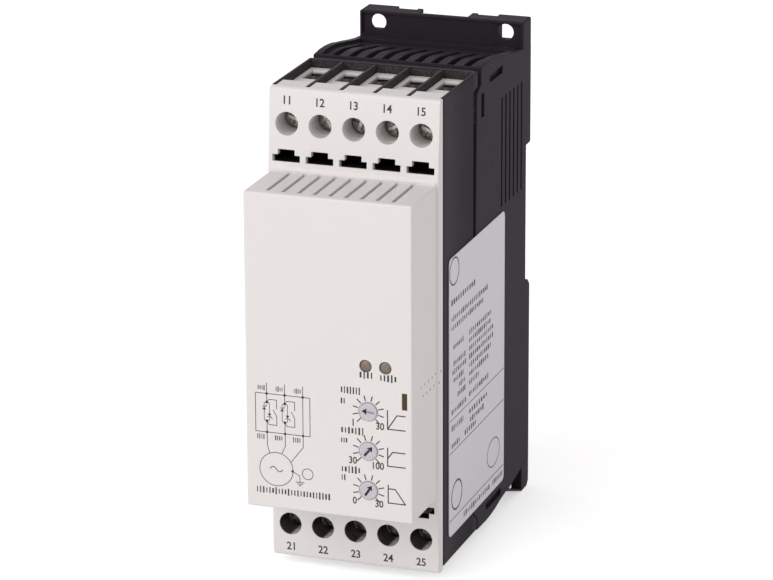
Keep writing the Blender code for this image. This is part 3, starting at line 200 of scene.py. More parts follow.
def middle_of(node):
    """Centre of a CAD node's box."""
    low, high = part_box(node)
    return (low + high) / 2


def face_of(node):
    """Centre of the front face of a CAD node's box."""
    place = middle_of(node)
    place.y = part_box(node)[0].y
    return place


def size_of(node):
    """Width, depth and height of a CAD node's box."""
    low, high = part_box(node)
    return high - low


LOWER_ROW = middle_of("lower_screw_1").z - MIDDLE


def length(name, about, default, least=0.0, most=0.01):
    """A size that a user may change."""
    return bpy.props.FloatProperty(
        name=name, description=about, default=default, min=least, max=most, unit='LENGTH', precision=5)


def colour(name, about, *default):
    """A colour that a user may change."""
    return bpy.props.FloatVectorProperty(
        name=name, description=about, default=default, min=0.0, max=1.0, subtype='COLOR')


class StarterSizes(bpy.types.PropertyGroup):
    """Sizes of what is dressed on the frame."""
    edge_round: length("Edge round", "Small round on the moulded edges", 0.00012, 0.0, 0.0003)
    ink_rise: length("Ink rise", "How far the print stands on the plastic", 0.00002, 0.00001, 0.00005)
    ink_line: length("Ink line", "Width of the printed lines", 0.00024, 0.0001, 0.0006)
    numeral: length("Scale numerals", "Height of the numbers at the dials", 0.00188, 0.001, 0.003)
    terminal_numeral: length(
        "Terminal numerals", "Height of the numbers at the terminals", 0.00215, 0.001, 0.003)
    tick_inner: length("Tick start", "Inner end of a scale tick, from the dial's centre", 0.00272)
    tick_outer: length("Tick end", "Outer end of a scale tick, from the dial's centre", 0.00418)
    tick_width: length("Tick width", "Width of a scale tick", 0.00029)
    tick_count: bpy.props.IntProperty(
        name="Ticks", description="Ticks round one dial", default=10, min=2, max=40)
    thread_pitch: length("Thread pitch", "Pitch of the terminal screws", 0.0006, 0.0002, 0.002)
    spring_turns: bpy.props.IntProperty(
        name="Spring turns", description="Turns of the latch spring", default=8, min=3, max=20)


class StarterColours(bpy.types.PropertyGroup):
    """Colours that a user may change."""
    shell: colour("Cover", "White moulded plastic", 0.785, 0.757, 0.735)
    housing: colour("Housing", "Black moulded plastic", 0.0300, 0.0236, 0.0310)
    label: colour("Label", "Film of the side label", 0.68, 0.655, 0.69)
    ink: colour("Ink", "Print on the cover and the label", 0.040, 0.034, 0.036)
    dial: colour("Dials", "Pale plastic of the dials", 0.58, 0.555, 0.61)
    light: colour("Lights", "Unlit light guides", 0.185, 0.136, 0.104)
    signal: colour("Signal piece", "Brown piece at the hood's edge", 0.064, 0.036, 0.009)
    floor: colour("Floor", "Plain studio floor", 0.86, 0.86, 0.86)


class Field:
    """A number that varies. Sums and products of it become Math nodes."""

    def __init__(self, nodes, socket):
        self.nodes = nodes
        self.socket = socket

    def of(self, operation, other=0.0):
        """A Math node on this number and another."""
        return self.nodes.maths(operation, self, other)

    def __add__(self, other):
        return self.of('ADD', other)

    def __sub__(self, other):
        return self.of('SUBTRACT', other)

    def __rsub__(self, other):
        return self.nodes.maths('SUBTRACT', other, self)

    def __mul__(self, other):
        return self.of('MULTIPLY', other)

    __radd__ = __add__
    __rmul__ = __mul__

    def above(self, level):
        """1 where the number is over a level, 0 elsewhere."""
        return self.of('GREATER_THAN', level)

    def within(self, low, high):
        """1 where the number lies between two levels."""
        return self.above(low) * (1.0 - self.above(high))

    def rounded_off(self, low, high):
        """0 at low, 1 at high, smooth between."""
        return Field(self.nodes, self.nodes.first(
            "ShaderNodeMapRange", {"interpolation_type": 'SMOOTHSTEP'},
            {"Value": self, "From Min": low, "From Max": high}))


class Nodes:
    """A node tree, and the one way in which nodes are added to it."""

    def __init__(self, tree):
        self.tree = tree

    def add(self, kind, settings=None, inputs=None):
        """A node of a type, its settings first and then its values and links."""
        node = self.tree.nodes.new(kind)
        for key, value in (settings or {}).items():
            setattr(node, key, value)
        for key, value in (inputs or {}).items():
            self.feed(node.inputs[key], value)
        return node

    def first(self, kind, settings=None, inputs=None):
        """The first output of a new node."""
        return self.add(kind, settings, inputs).outputs[0]

    def feed(self, socket, value):
        """Link or set one socket."""
        if isinstance(value, Field):
            value = value.socket
        if isinstance(value, bpy.types.NodeSocket):
            self.tree.links.new(value, socket)
        else:
            socket.default_value = value

    def maths(self, operation, first, second):
        """A Math node on two values."""
        return Field(self, self.first("ShaderNodeMath", {"operation": operation}, {0: first, 1: second}))

    def blend(self, share, first, second):
        """Colour between two, by a number."""
        node = self.add("ShaderNodeMix", {"data_type": 'RGBA'}, {0: share, 6: opaque(first), 7: opaque(second)})
        return node.outputs[2]

    def background_rays(self):
        """1 for what the camera sees straight, in a gloss or through glass."""
        rays = self.add("ShaderNodeLightPath").outputs
        seen = Field(self, rays["Is Camera Ray"]).of('MAXIMUM', rays["Is Glossy Ray"])
        return seen.of('MAXIMUM', rays["Is Transmission Ray"])


class Finish(Nodes):
    """One procedural material."""

    def __init__(self, name, **constants):
        self.material = bpy.data.materials.new(name)
        self.material.use_nodes = True
        super().__init__(self.material.node_tree)
        self.shader = self.tree.nodes["Principled BSDF"]
        self.surface(**constants)

    def surface(self, **values):
        """Values of the shader's sockets, the same all over or varying."""
        for socket, value in values.items():
            self.feed(self.shader.inputs[socket.replace("_", " ")], value)

    def where(self):
        """Object coordinates."""
        return self.add("ShaderNodeTexCoord").outputs["Object"]

    def axis(self, name):
        """One coordinate as a number."""
        return Field(self, self.add("ShaderNodeSeparateXYZ", None, {0: self.where()}).outputs[name])

    def places(self):
        """The x, the depth and the height of a point."""
        return self.axis("X"), self.axis("Y") - FRONT, self.axis("Z") - MIDDLE

    def noise(self, scale, detail=2.0, rough=0.5, stretch=(1.0, 1.0, 1.0)):
        """Noise from 0 to 1 about 0.5, scale in waves a metre."""
        place = self.first("ShaderNodeMapping", None, {"Vector": self.where(), "Scale": stretch})
        node = self.add("ShaderNodeTexNoise", {"noise_dimensions": '3D'},
                        {"Vector": place, "Scale": scale, "Detail": detail, "Roughness": rough})
        return Field(self, node.outputs["Fac"])

    def bump(self, height, depth):
        """Normal from a height field that is depth metres deep."""
        return self.first("ShaderNodeBump", None, {"Strength": 1.0, "Distance": depth, "Height": height})


def opaque(shade):
    """A colour with its alpha, or a socket as it is."""
    return shade if isinstance(shade, bpy.types.NodeSocket) else (*tuple(shade)[:3], 1.0)


def toned(shade, share):
    """A colour made darker or lighter."""
    return tuple(min(1.0, part * share) for part in tuple(shade)[:3])


def across_cell(x):
    """Distance from the middle of the terminal cell that a point lies in."""
    return (x + CELLS / 2 * CELL_PITCH).of('FLOORED_MODULO', CELL_PITCH) - CELL_PITCH / 2


def painted_driver_hole(finish, x, row):
    """Painted shade and painted light in a lower driver hole: dark on the left, pale on the right and at the foot."""
    across = across_cell(x)
    # Painted shade, less dark at the foot and pale on the right, then painted light on the lower right wall
    foot = row.rounded_off(0.0004, -0.0016)
    shade = finish.blend(foot, (0.012, 0.009, 0.009), (0.055, 0.044, 0.041))
    turned_away = (across * -0.9 - row * 0.4).rounded_off(-0.0002, 0.0010)
    side = finish.blend(turned_away, (0.56, 0.52, 0.50), shade)
    lit = (across * 0.75 - row * 0.66).rounded_off(0.0016, 0.0023)
    return finish.blend(lit, side, (0.72, 0.67, 0.64))


def cover_painted_shade(finish, tone):
    """The cover's colour, with painted shade inside the test slots and painted shade and light in the lower driver
    holes.
    """
    x, depth, height = finish.places()
    inside = 1.0 - x.of('ABSOLUTE').above(SIDE_WALL)
    row = height - LOWER_ROW
    hole = row.within(-HOLE_REACH, HOLE_REACH) * depth.above(HOLE_DEPTH) * inside
    tone = finish.blend(hole, tone, painted_driver_hole(finish, x, row))
    upper_slots = height.within(*UPPER_SLOTS) * depth.above(UPPER_SLOT_DEPTH)
    lower_slots = height.within(*LOWER_SLOTS) * depth.above(LOWER_SLOT_DEPTH)
    across = across_cell(x)
    step = across.within(*SLOT_STEP)
    low_step = step * (1.0 - height.above(SLOT_STEP_HEIGHT))
    pale = (across.within(*SLOT_END) + step) * (1.0 - depth.above(SLOT_PALE_DEPTH)) * (1.0 - low_step)
    # Painted shade in the test slots, left off at their pale left ends
    return finish.blend((upper_slots + lower_slots) * inside * (1.0 - pale), tone, SLOT_PAINTED_SHADE)


def housing_grain_and_painted_shade(finish, tone):
    """The housing's colour: pale grain on the walls of the cells, and on the outside of the side walls a painted sheen
    in front and painted shade towards the seam.
    """
    x, depth, height = finish.places()
    outside = x.of('ABSOLUTE').above(SIDE_WALL)
    cell = depth.within(*CELL_DEPTHS) * height.of('ABSOLUTE').above(CELL_HEIGHT) * (1.0 - outside)
    speck = finish.noise(2300.0, 2.0, 0.7).rounded_off(0.44, 0.66)
    tone = finish.blend(cell * (0.25 + 0.75 * speck), tone, (0.085, 0.076, 0.072))
    # Painted sheen on the outside of the side walls in front, painted shade towards the seam
    wall = depth.within(*WALL_DEPTHS) * outside
    tone = finish.blend(wall * depth.rounded_off(*WALL_PAINTED_SHEEN) * 0.30, tone, (0.075, 0.063, 0.078))
    return finish.blend(wall * depth.rounded_off(*WALL_PAINTED_SHADE) * 0.62, tone, (0.004, 0.003, 0.004))


def moulded(name, tint, rough, grain, level, cloudy, shade=None):
    """Moulded plastic: fine spark-eroded grain, slow changes of tone and sheen."""
    finish = Finish(name, Specular_IOR_Level=level)
    cloud = finish.noise(38.0, 3.0)
    patch = finish.noise(210.0)
    spark = finish.noise(4200.0, 3.0, 0.6)
    tone = finish.blend(cloud, toned(tint, 1.0 - cloudy), toned(tint, 1.0 + cloudy))
    # A shade function adds painted shade and painted light to the tone
    finish.surface(
        Base_Color=shade(finish, tone) if shade else tone,
        Roughness=rough + 0.10 * (cloud - 0.5) + 0.06 * (patch - 0.5) + 0.10 * (spark - 0.5),
        Normal=finish.bump(spark + 0.5 * patch, grain))


def insert_plastic(name, tint):
    """White terminal insert, painted dark as shade behind the test slots and deep in the funnels, their left walls
    painted lighter, with painted shade and light in the driver holes.
    """
    finish = Finish(name, Specular_IOR_Level=0.3)
    x, depth, height = finish.places()
    away = height.of('ABSOLUTE')
    cloud = finish.noise(60.0, 3.0)
    spark = finish.noise(4200.0, 3.0, 0.6)
    tone = finish.blend(cloud, toned(tint, 0.97), toned(tint, 1.01))
    # Painted shade deep in the funnels, painted lighter on their left walls, and in the driver holes
    throat_painted_shade = away.above(THROAT_HEIGHT) * away.rounded_off(*THROAT_EDGE)
    side = across_cell(x).rounded_off(*THROAT_SIDE)
    tone = finish.blend(throat_painted_shade, tone, finish.blend(side, (0.20, 0.18, 0.175), (0.022, 0.019, 0.019)))
    hole = height.within(*INSERT_HOLES) * (1.0 - depth.above(INSERT_HOLE_DEPTH))
    tone = finish.blend(hole, tone, painted_driver_hole(finish, x, height - LOWER_ROW))
    # Painted shade behind the test slots, up to the pocket's reach
    finish.surface(
        Base_Color=finish.blend(1.0 - away.above(POCKET_REACH), tone, (0.004, 0.004, 0.004)),
        Roughness=0.46 + 0.10 * (spark - 0.5),
        Normal=finish.bump(spark, 0.000003))


def plated(name, tint, rough, stretch, tarnish=0.3):
    """Plated or drawn metal: fine lines along one way, and a slight tarnish."""
    finish = Finish(name, Metallic=1.0)
    line = finish.noise(1.0, 2.0, 0.6, stretch)
    shade = finish.noise(420.0, 4.0, 0.6).rounded_off(0.35, 0.75) * tarnish
    finish.surface(
        Base_Color=finish.blend(shade, tint, toned(tint, 0.45)),
        Roughness=rough + 0.16 * (line - 0.5) + 0.20 * shade,
        Normal=finish.bump(line, 0.000004))


def turned_zinc(name):
    """Zinc on a turned head: rings about the screw's own axis."""
    finish = Finish(name, Metallic=1.0)
    radius = finish.add("ShaderNodeAttribute", {"attribute_name": "turning"}).outputs["Fac"]
    rings = (Field(finish, radius) * 42000.0).of('SINE')
    shade = finish.noise(900.0, 4.0, 0.65).rounded_off(0.38, 0.72)
    finish.surface(
        Base_Color=finish.blend(shade, (0.42, 0.395, 0.37), (0.14, 0.133, 0.128)),
        Roughness=0.30 + 0.05 * rings + 0.18 * shade,
        Normal=finish.bump(rings, 0.000003))


def board(name, tint):
    """Solder mask over copper tracks."""
    finish = Finish(name, Specular_IOR_Level=0.5)
    wander = finish.noise(120.0, 1.0) * 9.0
    across = (finish.axis("X") * 1400.0 + wander).of('SINE').above(0.35)
    along = (finish.axis("Z") * 900.0 + wander).of('SINE').above(0.6)
    copper = across.of('MAXIMUM', along)
    weave = finish.noise(2600.0, 1.0)
    finish.surface(
        Base_Color=finish.blend(copper, tint, toned(tint, 1.9)),
        Roughness=0.34 + 0.12 * weave,
        Normal=finish.bump(copper + 0.2 * weave, 0.00003))


def dial_plastic(name, tint):
    """Pale plastic, with painted shade at the foot of the arrow slot and deeper."""
    finish = Finish(name, Specular_IOR_Level=0.5)
    # Painted shade on everything deeper than the arrow slot's foot
    slot_painted_shade = finish.axis("Y").rounded_off(FRONT - 0.00005, FRONT + 0.00045)
    cloud = finish.noise(900.0, 4.0, 0.65)
    grain = finish.noise(5200.0)
    pale = finish.blend(cloud, toned(tint, 0.78), toned(tint, 1.16))
    finish.surface(
        Base_Color=finish.blend(slot_painted_shade, pale, (0.045, 0.040, 0.055)),
        Roughness=0.34 + 0.10 * grain,
        Normal=finish.bump(grain + cloud, 0.000008))


def light_guide(name, tint):
    """Diffusing light guide, unlit: cloudy, with a smooth top."""
    finish = Finish(name, Specular_IOR_Level=0.5, Coat_Weight=0.3, Coat_Roughness=0.12)
    cloud = finish.noise(900.0, 4.0, 0.6)
    finish.surface(
        Base_Color=finish.blend(cloud.rounded_off(0.3, 0.7), toned(tint, 0.78), toned(tint, 1.18)),
        Roughness=0.30 + 0.14 * finish.noise(3800.0),
        Normal=finish.bump(cloud, 0.00002))


def label_film(name, tint):
    """Satin film: very slight waves and fine tooth."""
    finish = Finish(name, Specular_IOR_Level=0.5)
    wave = finish.noise(55.0)
    tooth = finish.noise(3000.0)
    finish.surface(
        Base_Color=finish.blend(wave, toned(tint, 0.96), toned(tint, 1.02)),
        Roughness=0.38 + 0.10 * tooth + 0.08 * (wave - 0.5),
        Normal=finish.bump(wave * 4.0 + 0.2 * tooth, 0.00002))


def ink(name, tint, rough=0.5):
    """Pad print: nearly black, a little thinner in places."""
    finish = Finish(name, Specular_IOR_Level=0.3)
    density = finish.noise(2400.0, 3.0)
    finish.surface(
        Base_Color=finish.blend(density.rounded_off(0.25, 0.8), toned(tint, 0.7), toned(tint, 1.7)),
        Roughness=rough + 0.12 * (density - 0.5),
        Normal=finish.bump(density, 0.000004))


def studio_floor(name, tint):
    """Pale floor that shows white to the camera and keeps the object's shadow."""
    finish = Finish(name, Specular_IOR_Level=0.2)
    mottle = finish.noise(3.0)
    finish.surface(Base_Color=finish.blend(mottle, tint, toned(tint, 0.99)), Roughness=0.8 + 0.05 * mottle)
    white = finish.first("ShaderNodeEmission", None,
                         {"Color": (1.0, 1.0, 1.0, 1.0), "Strength": finish.background_rays() * 0.55})
    both = finish.first("ShaderNodeAddShader", None, {0: finish.shader.outputs[0], 1: white})
    finish.feed(finish.tree.nodes["Material Output"].inputs["Surface"], both)
    return finish.material


def white_world(scene):
    """World that is white to the camera and in gloss, and softer as light."""
    world = bpy.data.worlds.new("studio_world")
    scene.world = world
    world.use_nodes = True
    nodes = Nodes(world.node_tree)
    back = nodes.tree.nodes["Background"].inputs
    seen = nodes.background_rays()
    nodes.feed(back["Strength"], 0.53 + 0.47 * seen)
    nodes.feed(back["Color"], nodes.blend(seen, (1.0, 0.962, 0.980), (1.0, 1.0, 1.0)))


def make_finishes(colours):
    """The material of every slot and print, named as the slot."""
    moulded("white_plastic", colours.shell, rough=0.46, grain=0.0000035, level=0.35, cloudy=0.012, shade=cover_painted_shade)
    moulded("black_plastic", colours.housing, rough=0.40, grain=0.000006, level=0.012, cloudy=0.10, shade=housing_grain_and_painted_shade)
    moulded("module_resin", (0.050, 0.050, 0.055), rough=0.50, grain=0.00001, level=0.40, cloudy=0.08)
    moulded("relay_case", (0.10, 0.13, 0.20), rough=0.35, grain=0.000004, level=0.50, cloudy=0.05)
    moulded("signal_brown", colours.signal, rough=0.32, grain=0.000004, level=0.25, cloudy=0.10)
    moulded("latch_plastic", (0.036, 0.032, 0.037), rough=0.46, grain=0.000006, level=0.10, cloudy=0.10)
    insert_plastic("insert_plastic", colours.shell)
    plated("zinc_steel", (0.52, 0.51, 0.48), 0.34, (3000.0, 400.0, 3000.0))
    plated("tinned_copper", (0.66, 0.60, 0.52), 0.32, (2500.0, 2500.0, 200.0))
    plated("aluminium", (0.60, 0.60, 0.61), 0.42, (2600.0, 2600.0, 60.0), 0.15)
    plated("spring_steel", (0.58, 0.58, 0.57), 0.28, (1800.0, 1800.0, 1800.0), 0.2)
    turned_zinc("turned_zinc")
    board("circuit_board", (0.03, 0.15, 0.08))
    dial_plastic("dial_plastic", colours.dial)
    light_guide("light_guide", colours.light)
    label_film("label_film", colours.label)
    ink("ink", colours.ink)
    ink("label_ink", toned(colours.ink, 1.3), 0.55)


def held(data, name="holder"):
    """An object in the scene round a mesh, curve, lamp or camera."""
    made = bpy.data.objects.new(name, data)
    bpy.context.scene.collection.objects.link(made)
    return made


def settled(holder):
    """Plain mesh of an object with its modifiers. The object and its data are removed."""
    graph = bpy.context.evaluated_depsgraph_get()
    mesh = bpy.data.meshes.new_from_object(holder.evaluated_get(graph))
    bpy.data.batch_remove([holder, holder.data])
    return mesh


def modified(mesh, name, kind, **settings):
    """The mesh after one modifier."""
    holder = held(mesh)
    modifier = holder.modifiers.new(name, kind)
    for key, value in settings.items():
        setattr(modifier, key, value)
    return settled(holder)


def shape_of(*meshes):
    """Bmesh of some meshes."""
    shape = bmesh.new()
    for mesh in meshes:
        shape.from_mesh(mesh)
    return shape


def mesh_of(shape):
    """Mesh of a bmesh, which is used up."""
    mesh = bpy.data.meshes.new("mesh")
    shape.to_mesh(mesh)
    shape.free()
    return mesh


def outward(shape):
    """Mesh of a bmesh of closed shells, its faces turned outwards."""
    bmesh.ops.recalc_face_normals(shape, faces=shape.faces)
    return mesh_of(shape)


def smoothed(mesh, sharp):
    """The mesh, shaded smooth below an angle in degrees."""
    mesh.shade_smooth()
    mesh.set_sharp_from_angle(angle=math.radians(sharp))
    return mesh


def joined(*meshes):
    """Several meshes as one."""
    made = mesh_of(shape_of(*meshes))
    bpy.data.batch_remove(meshes)
    return made


def moved(mesh, place, turn=0.0):
    """The mesh, turned in degrees about +Y through its origin and then moved."""
    mesh.transform(Matrix.Translation(place) @ Matrix.Rotation(math.radians(turn), 4, 'Y'))
    return mesh


def circle(radius, steps, centre=(0.0, 0.0), stretch=1.0):
    """Points of a circle, or of an oval stretched across."""
    turns = [2 * math.pi * step / steps for step in range(steps)]
    return [(centre[0] + stretch * radius * math.cos(turn), centre[1] + radius * math.sin(turn)) for turn in turns]


def skinned(shape, rings, caps=False):
    """Faces from each ring of corners to the next. A ring of one corner is a pole."""
    sides = max(len(ring) for ring in rings)
    for near, far in zip(rings, rings[1:]):
        for step in range(sides):
            after = step + 1
            corners = [near[step % len(near)], far[step % len(far)], far[after % len(far)], near[after % len(near)]]
            shape.faces.new(list(dict.fromkeys(corners)))
    if caps:
        shape.faces.new(rings[0])
        shape.faces.new(rings[-1])


def turned(profile, sides):
    """Solid of revolution about +Y from (radius, y) points, closed at both poles."""
    shape = bmesh.new()
    rings = []
    for radius, y in profile:
        points = circle(radius, sides) if radius else [(0.0, 0.0)]
        rings.append([shape.verts.new((x, y, z)) for x, z in points])
    skinned(shape, rings)
    return outward(shape)


def rectangle(left, right, low, high):
    """Corners of a rectangle."""
    return [(left, low), (right, low), (right, high), (left, high)]


def prism(points, near, far):
    """Closed mesh of an outline in x and z, pushed from one y to another."""
    shape = bmesh.new()
    skinned(shape, [[shape.verts.new((x, y, z)) for x, z in points] for y in (near, far)], caps=True)
    return outward(shape)


def carved(mesh, *cutters):
    """Mesh with other closed meshes taken away. The cutters are used up."""
    holder = held(mesh)
    tools = [held(cutter) for cutter in cutters]
    for tool in tools:
        cut = holder.modifiers.new("Cut", 'BOOLEAN')
        cut.operation = 'DIFFERENCE'
        cut.solver = 'EXACT'
        cut.object = tool
    made = settled(holder)
    bpy.data.batch_remove([*tools, *cutters])
    return made


def beside(place, node, margin=0.0006):
    """Whether a place lies in the box of a node, or just outside it."""
    low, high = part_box(node)
    return all(low[k] - margin < place[k] < high[k] + margin for k in range(3))


def softened(node, width, cuts=(), plain=None):
    """Merged copy of a CAD node, less some cuts, with its sharp edges rounded, except beside another node."""
    shape = shape_of(frame["nodes"][node].data)
    bmesh.ops.remove_doubles(shape, verts=shape.verts, dist=1e-6)
    if cuts:
        shape = shape_of(carved(mesh_of(shape), *cuts))
        bmesh.ops.triangulate(shape, faces=shape.faces)
    level = [edge for edge in shape.edges if edge.is_manifold and edge.calc_face_angle(1.0) < 0.0005]
    bmesh.ops.beautify_fill(shape, faces=shape.faces, edges=level, method='AREA')
    weights = shape.edges.layers.float.new("bevel_weight_edge")
    for edge in shape.edges:
        roomy = edge.calc_length() > 4.0 * width
        if plain and any(beside(end.co, plain) for end in edge.verts):
            roomy = False
        if roomy and edge.is_manifold and edge.calc_face_angle(0.0) > math.radians(40.0):
            edge[weights] = 1.0
    rounded = modified(mesh_of(shape), "Edge round", 'BEVEL', width=width, segments=2, limit_method='WEIGHT',
                       use_clamp_overlap=False, miter_outer='MITER_ARC')
    done = modified(smoothed(rounded, 20.0), "Flat faces stay flat", 'WEIGHTED_NORMAL',
                    mode='FACE_AREA', weight=100, keep_sharp=True)
    normals = [corner.vector.copy() for corner in done.corner_normals]
    for face in done.polygons:
        if max(abs(share) for share in face.normal) > 0.999999:
            for corner in face.loop_indices:
                normals[corner] = face.normal.copy()
    done.normals_split_custom_set(normals)
    return done


class Print:
    """Flat marks on one face as thin closed solids, drawn in millimetres across and up."""

    def __init__(self, origin, across, up, rise):
        facing = Matrix((across, up, across.cross(up).normalized())).transposed()
        self.place = Matrix.Translation(origin) @ facing.to_4x4()
        self.rise = rise
        self.shape = bmesh.new()

    def corners(self, points):
        """The points at the foot of the ink, and at its top."""
        return [[self.shape.verts.new(self.place @ Vector((u * MM, v * MM, level))) for u, v in points]
                for level in (-INK_SINK, self.rise)]

    def stroke(self, points, width, closed=False):
        """Line of one width through points, with mitred corners."""
        spots = [Vector(point) for point in points]
        count = len(spots)
        left = []
        right = []
        for step, here in enumerate(spots):
            ways = []
            if step or closed:
                ways.append((here - spots[step - 1]).normalized())
            if step < count - 1 or closed:
                ways.append((spots[(step + 1) % count] - here).normalized())
            way = sum(ways, Vector((0.0, 0.0))).normalized()
            side = Vector((-way.y, way.x))
            first = Vector((-ways[0].y, ways[0].x))
            reach = side * (width / 2 / max(0.5, side.dot(first)))
            left.append(here + reach)
            right.append(here - reach)
        low_left, high_left = self.corners(left)
        low_right, high_right = self.corners(right)
        rings = list(zip(low_left, high_left, high_right, low_right))
        skinned(self.shape, rings + rings[:1] if closed else rings, caps=not closed)

    def patch(self, points):
        """Filled outline."""
        skinned(self.shape, self.corners(points), caps=True)

    def dot(self, centre, radius=0.33):
        """Filled round mark."""
        self.patch(circle(radius, 20, centre))

    def ring(self, centre, radius, width):
        """Round line."""
        self.stroke(circle(radius, 56, centre), width, closed=True)

    def number(self, words, centre, height, width_share):
        """Plain number, centred on a point."""
        curve = bpy.data.curves.new("number", 'FONT')
        curve.body = words
        curve.resolution_u = 4
        curve.extrude = 0.5
        curve.offset = 0.018
        mesh = settled(held(curve))
        low, high = (Vector([pick(vertex.co[k] for vertex in mesh.vertices) for k in range(3)]) for pick in (min, max))
        size = height * MM / (high.y - low.y)
        thick = (self.rise + INK_SINK) / (high.z - low.z)
        fit = Matrix.Translation((centre[0] * MM, centre[1] * MM, (self.rise - INK_SINK) / 2))
        fit = fit @ Matrix.Diagonal((size * width_share, size, thick, 1.0)) @ Matrix.Translation(-(low + high) / 2)
        mesh.transform(self.place @ fit)
        self.shape.from_mesh(mesh)
        bpy.data.meshes.remove(mesh)

    def mesh(self):
        """Everything drawn so far as one mesh."""
        bmesh.ops.remove_doubles(self.shape, verts=self.shape.verts, dist=1e-8)
        return outward(self.shape)


class Tree(Nodes):
    """A Geometry Nodes tree with named inputs, ended by Realize Instances and Set Material."""
    kinds = {int: "Int", float: "Float", tuple: "Vector"}

    def __init__(self, name, **inputs):
        super().__init__(bpy.data.node_groups.new(name, 'GeometryNodeTree'))
        sockets = self.tree.interface
        for way in ('INPUT', 'OUTPUT'):
            sockets.new_socket("Geometry", in_out=way, socket_type='NodeSocketGeometry')
        self.values = {}
        for label, value in inputs.items():
            kind = "NodeSocket" + self.kinds[type(value)]
            socket = sockets.new_socket(label.replace("_", " "), in_out='INPUT', socket_type=kind)
            self.values[socket.identifier] = value
        self.given = self.add("NodeGroupInput").outputs

    def field(self, label):
        """A named input as a number."""
        return Field(self, self.given[label])

    def copies(self, points, instance, **others):
        """An instance on every point."""
        return self.first("GeometryNodeInstanceOnPoints", None, {"Points": points, "Instance": instance, **others})

    def end(self, geometry, material):
        """Realize, set the material and reach the output."""
        real = self.first("GeometryNodeRealizeInstances", None, {0: geometry})
        painted = self.first("GeometryNodeSetMaterial", None,
                             {"Geometry": real, "Material": bpy.data.materials[material]})
        self.add("NodeGroupOutput", None, {0: painted})

    def run(self, points):
        """Plain mesh of the tree on a set of points."""
        mesh = bpy.data.meshes.new("points")
        mesh.from_pydata([tuple(point) for point in points], [], [])
        holder = held(mesh)
        modifier = holder.modifiers.new(self.tree.name, 'NODES')
        modifier.node_group = self.tree
        for identifier, value in self.values.items():
            modifier[identifier] = value
        return settled(holder)


def tick_tree(sizes, thick):
    """Ticks of a dial's scale round every point, in the plane of x and z, over three quarters of a turn."""
    tree = Tree("Scale ticks", Count=sizes.tick_count, Inner_radius=sizes.tick_inner, Outer_radius=sizes.tick_outer,
                Width=sizes.tick_width, Thickness=thick, First_angle=math.radians(225.0),
                Angle_step=math.radians(-270.0 / (sizes.tick_count - 1)))
    inner, outer = tree.field("Inner radius"), tree.field("Outer radius")
    swept = Field(tree, tree.first("GeometryNodeInputIndex")) * tree.field("Angle step") + tree.field("First angle")
    radius = (inner + outer) * 0.5
    where = tree.first("ShaderNodeCombineXYZ", None, {0: radius * swept.of('COSINE'), 2: radius * swept.of('SINE')})
    ring = tree.first("GeometryNodePoints", None, {"Count": tree.given["Count"], "Position": where})
    size = tree.first("ShaderNodeCombineXYZ", None,
                      {0: outer - inner, 1: tree.given["Thickness"], 2: tree.given["Width"]})
    mark = tree.first("GeometryNodeMeshCube", None, {"Size": size})
    turn = tree.first("ShaderNodeCombineXYZ", None, {1: swept * -1.0})
    solid = tree.first("GeometryNodeRealizeInstances", None, {0: tree.copies(ring, mark, Rotation=turn)})
    tree.end(tree.copies(tree.given["Geometry"], solid), "ink")
    return tree


def row_tree(name, count, step, mark, least, most, seed, material="ink"):
    """A row of bars from every point, each bar scaled at random between two vectors."""
    tree = Tree(name, Count=count, Step=step, Bar=mark, Least_scale=least, Most_scale=most, Seed=seed)
    given = tree.given
    row = tree.first("GeometryNodeMeshLine", None, {"Count": given["Count"], "Offset": given["Step"]})
    spots = tree.first("GeometryNodeRealizeInstances", None, {0: tree.copies(given["Geometry"], row)})
    bar = tree.first("GeometryNodeMeshCube", None, {"Size": given["Bar"]})
    scale = tree.first("FunctionNodeRandomValue", {"data_type": 'FLOAT_VECTOR'},
                       {0: given["Least scale"], 1: given["Most scale"], "Seed": given["Seed"]})
    tree.end(tree.copies(spots, bar, Scale=scale), material)
    return tree


def word_bars(name, words, thick, seed):
    """Rows of plain bars on the hood: for each, left x, right x, height, number of bars and their height, in mm."""
    parts = []
    for number, (left, right, height, bars, tall) in enumerate(words):
        pitch = (right - left) / bars * MM
        tree = row_tree(f"{name} {number}", bars, (pitch, 0.0, 0.0), (pitch * 0.52, thick, tall * MM),
                        (0.6, 1.0, 0.62), (1.15, 1.0, 1.0), seed + number)
        parts.append(tree.run([spot(left * MM + pitch / 2, 0.0, height * MM)]))
    return parts


def piece(name, mesh, body, slot, *nodes, look=None):
    """Show a finished mesh as a piece that rides on a body and stands for nodes."""
    mesh.name = name
    mesh.materials.clear()
    mesh.materials.append(bpy.data.materials[look or slot])
    made = held(mesh, name)
    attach(made, body)
    if nodes:
        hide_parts(*nodes)
    return made


def dressed(node, name, body, slot, width, look=None, **options):
    """Show a CAD node with rounded edges as a piece."""
    return piece(name, softened(node, width, **options), body, slot, node, look=look)


def printed(name, *meshes, look="ink"):
    """Show meshes of print as one piece."""
    return piece(name, joined(*meshes), ROOT, None, look=look)


class STARTER_OT_finishes(bpy.types.Operator):
    """Give every CAD node its procedural finish"""
    bl_idname = "starter.finishes"
    bl_label = "Finishes"

    def execute(self, context):
        slots = {name: node.data.materials[0].name.split(".")[0] for name, node in frame["nodes"].items()}
        for plain in list(bpy.data.materials):
            plain.name = "frame_" + plain.name
        make_finishes(context.scene.starter_colours)
        for name, slot in slots.items():
            for place in frame["nodes"][name].material_slots:
                place.material = bpy.data.materials[slot]
        return {'FINISHED'}


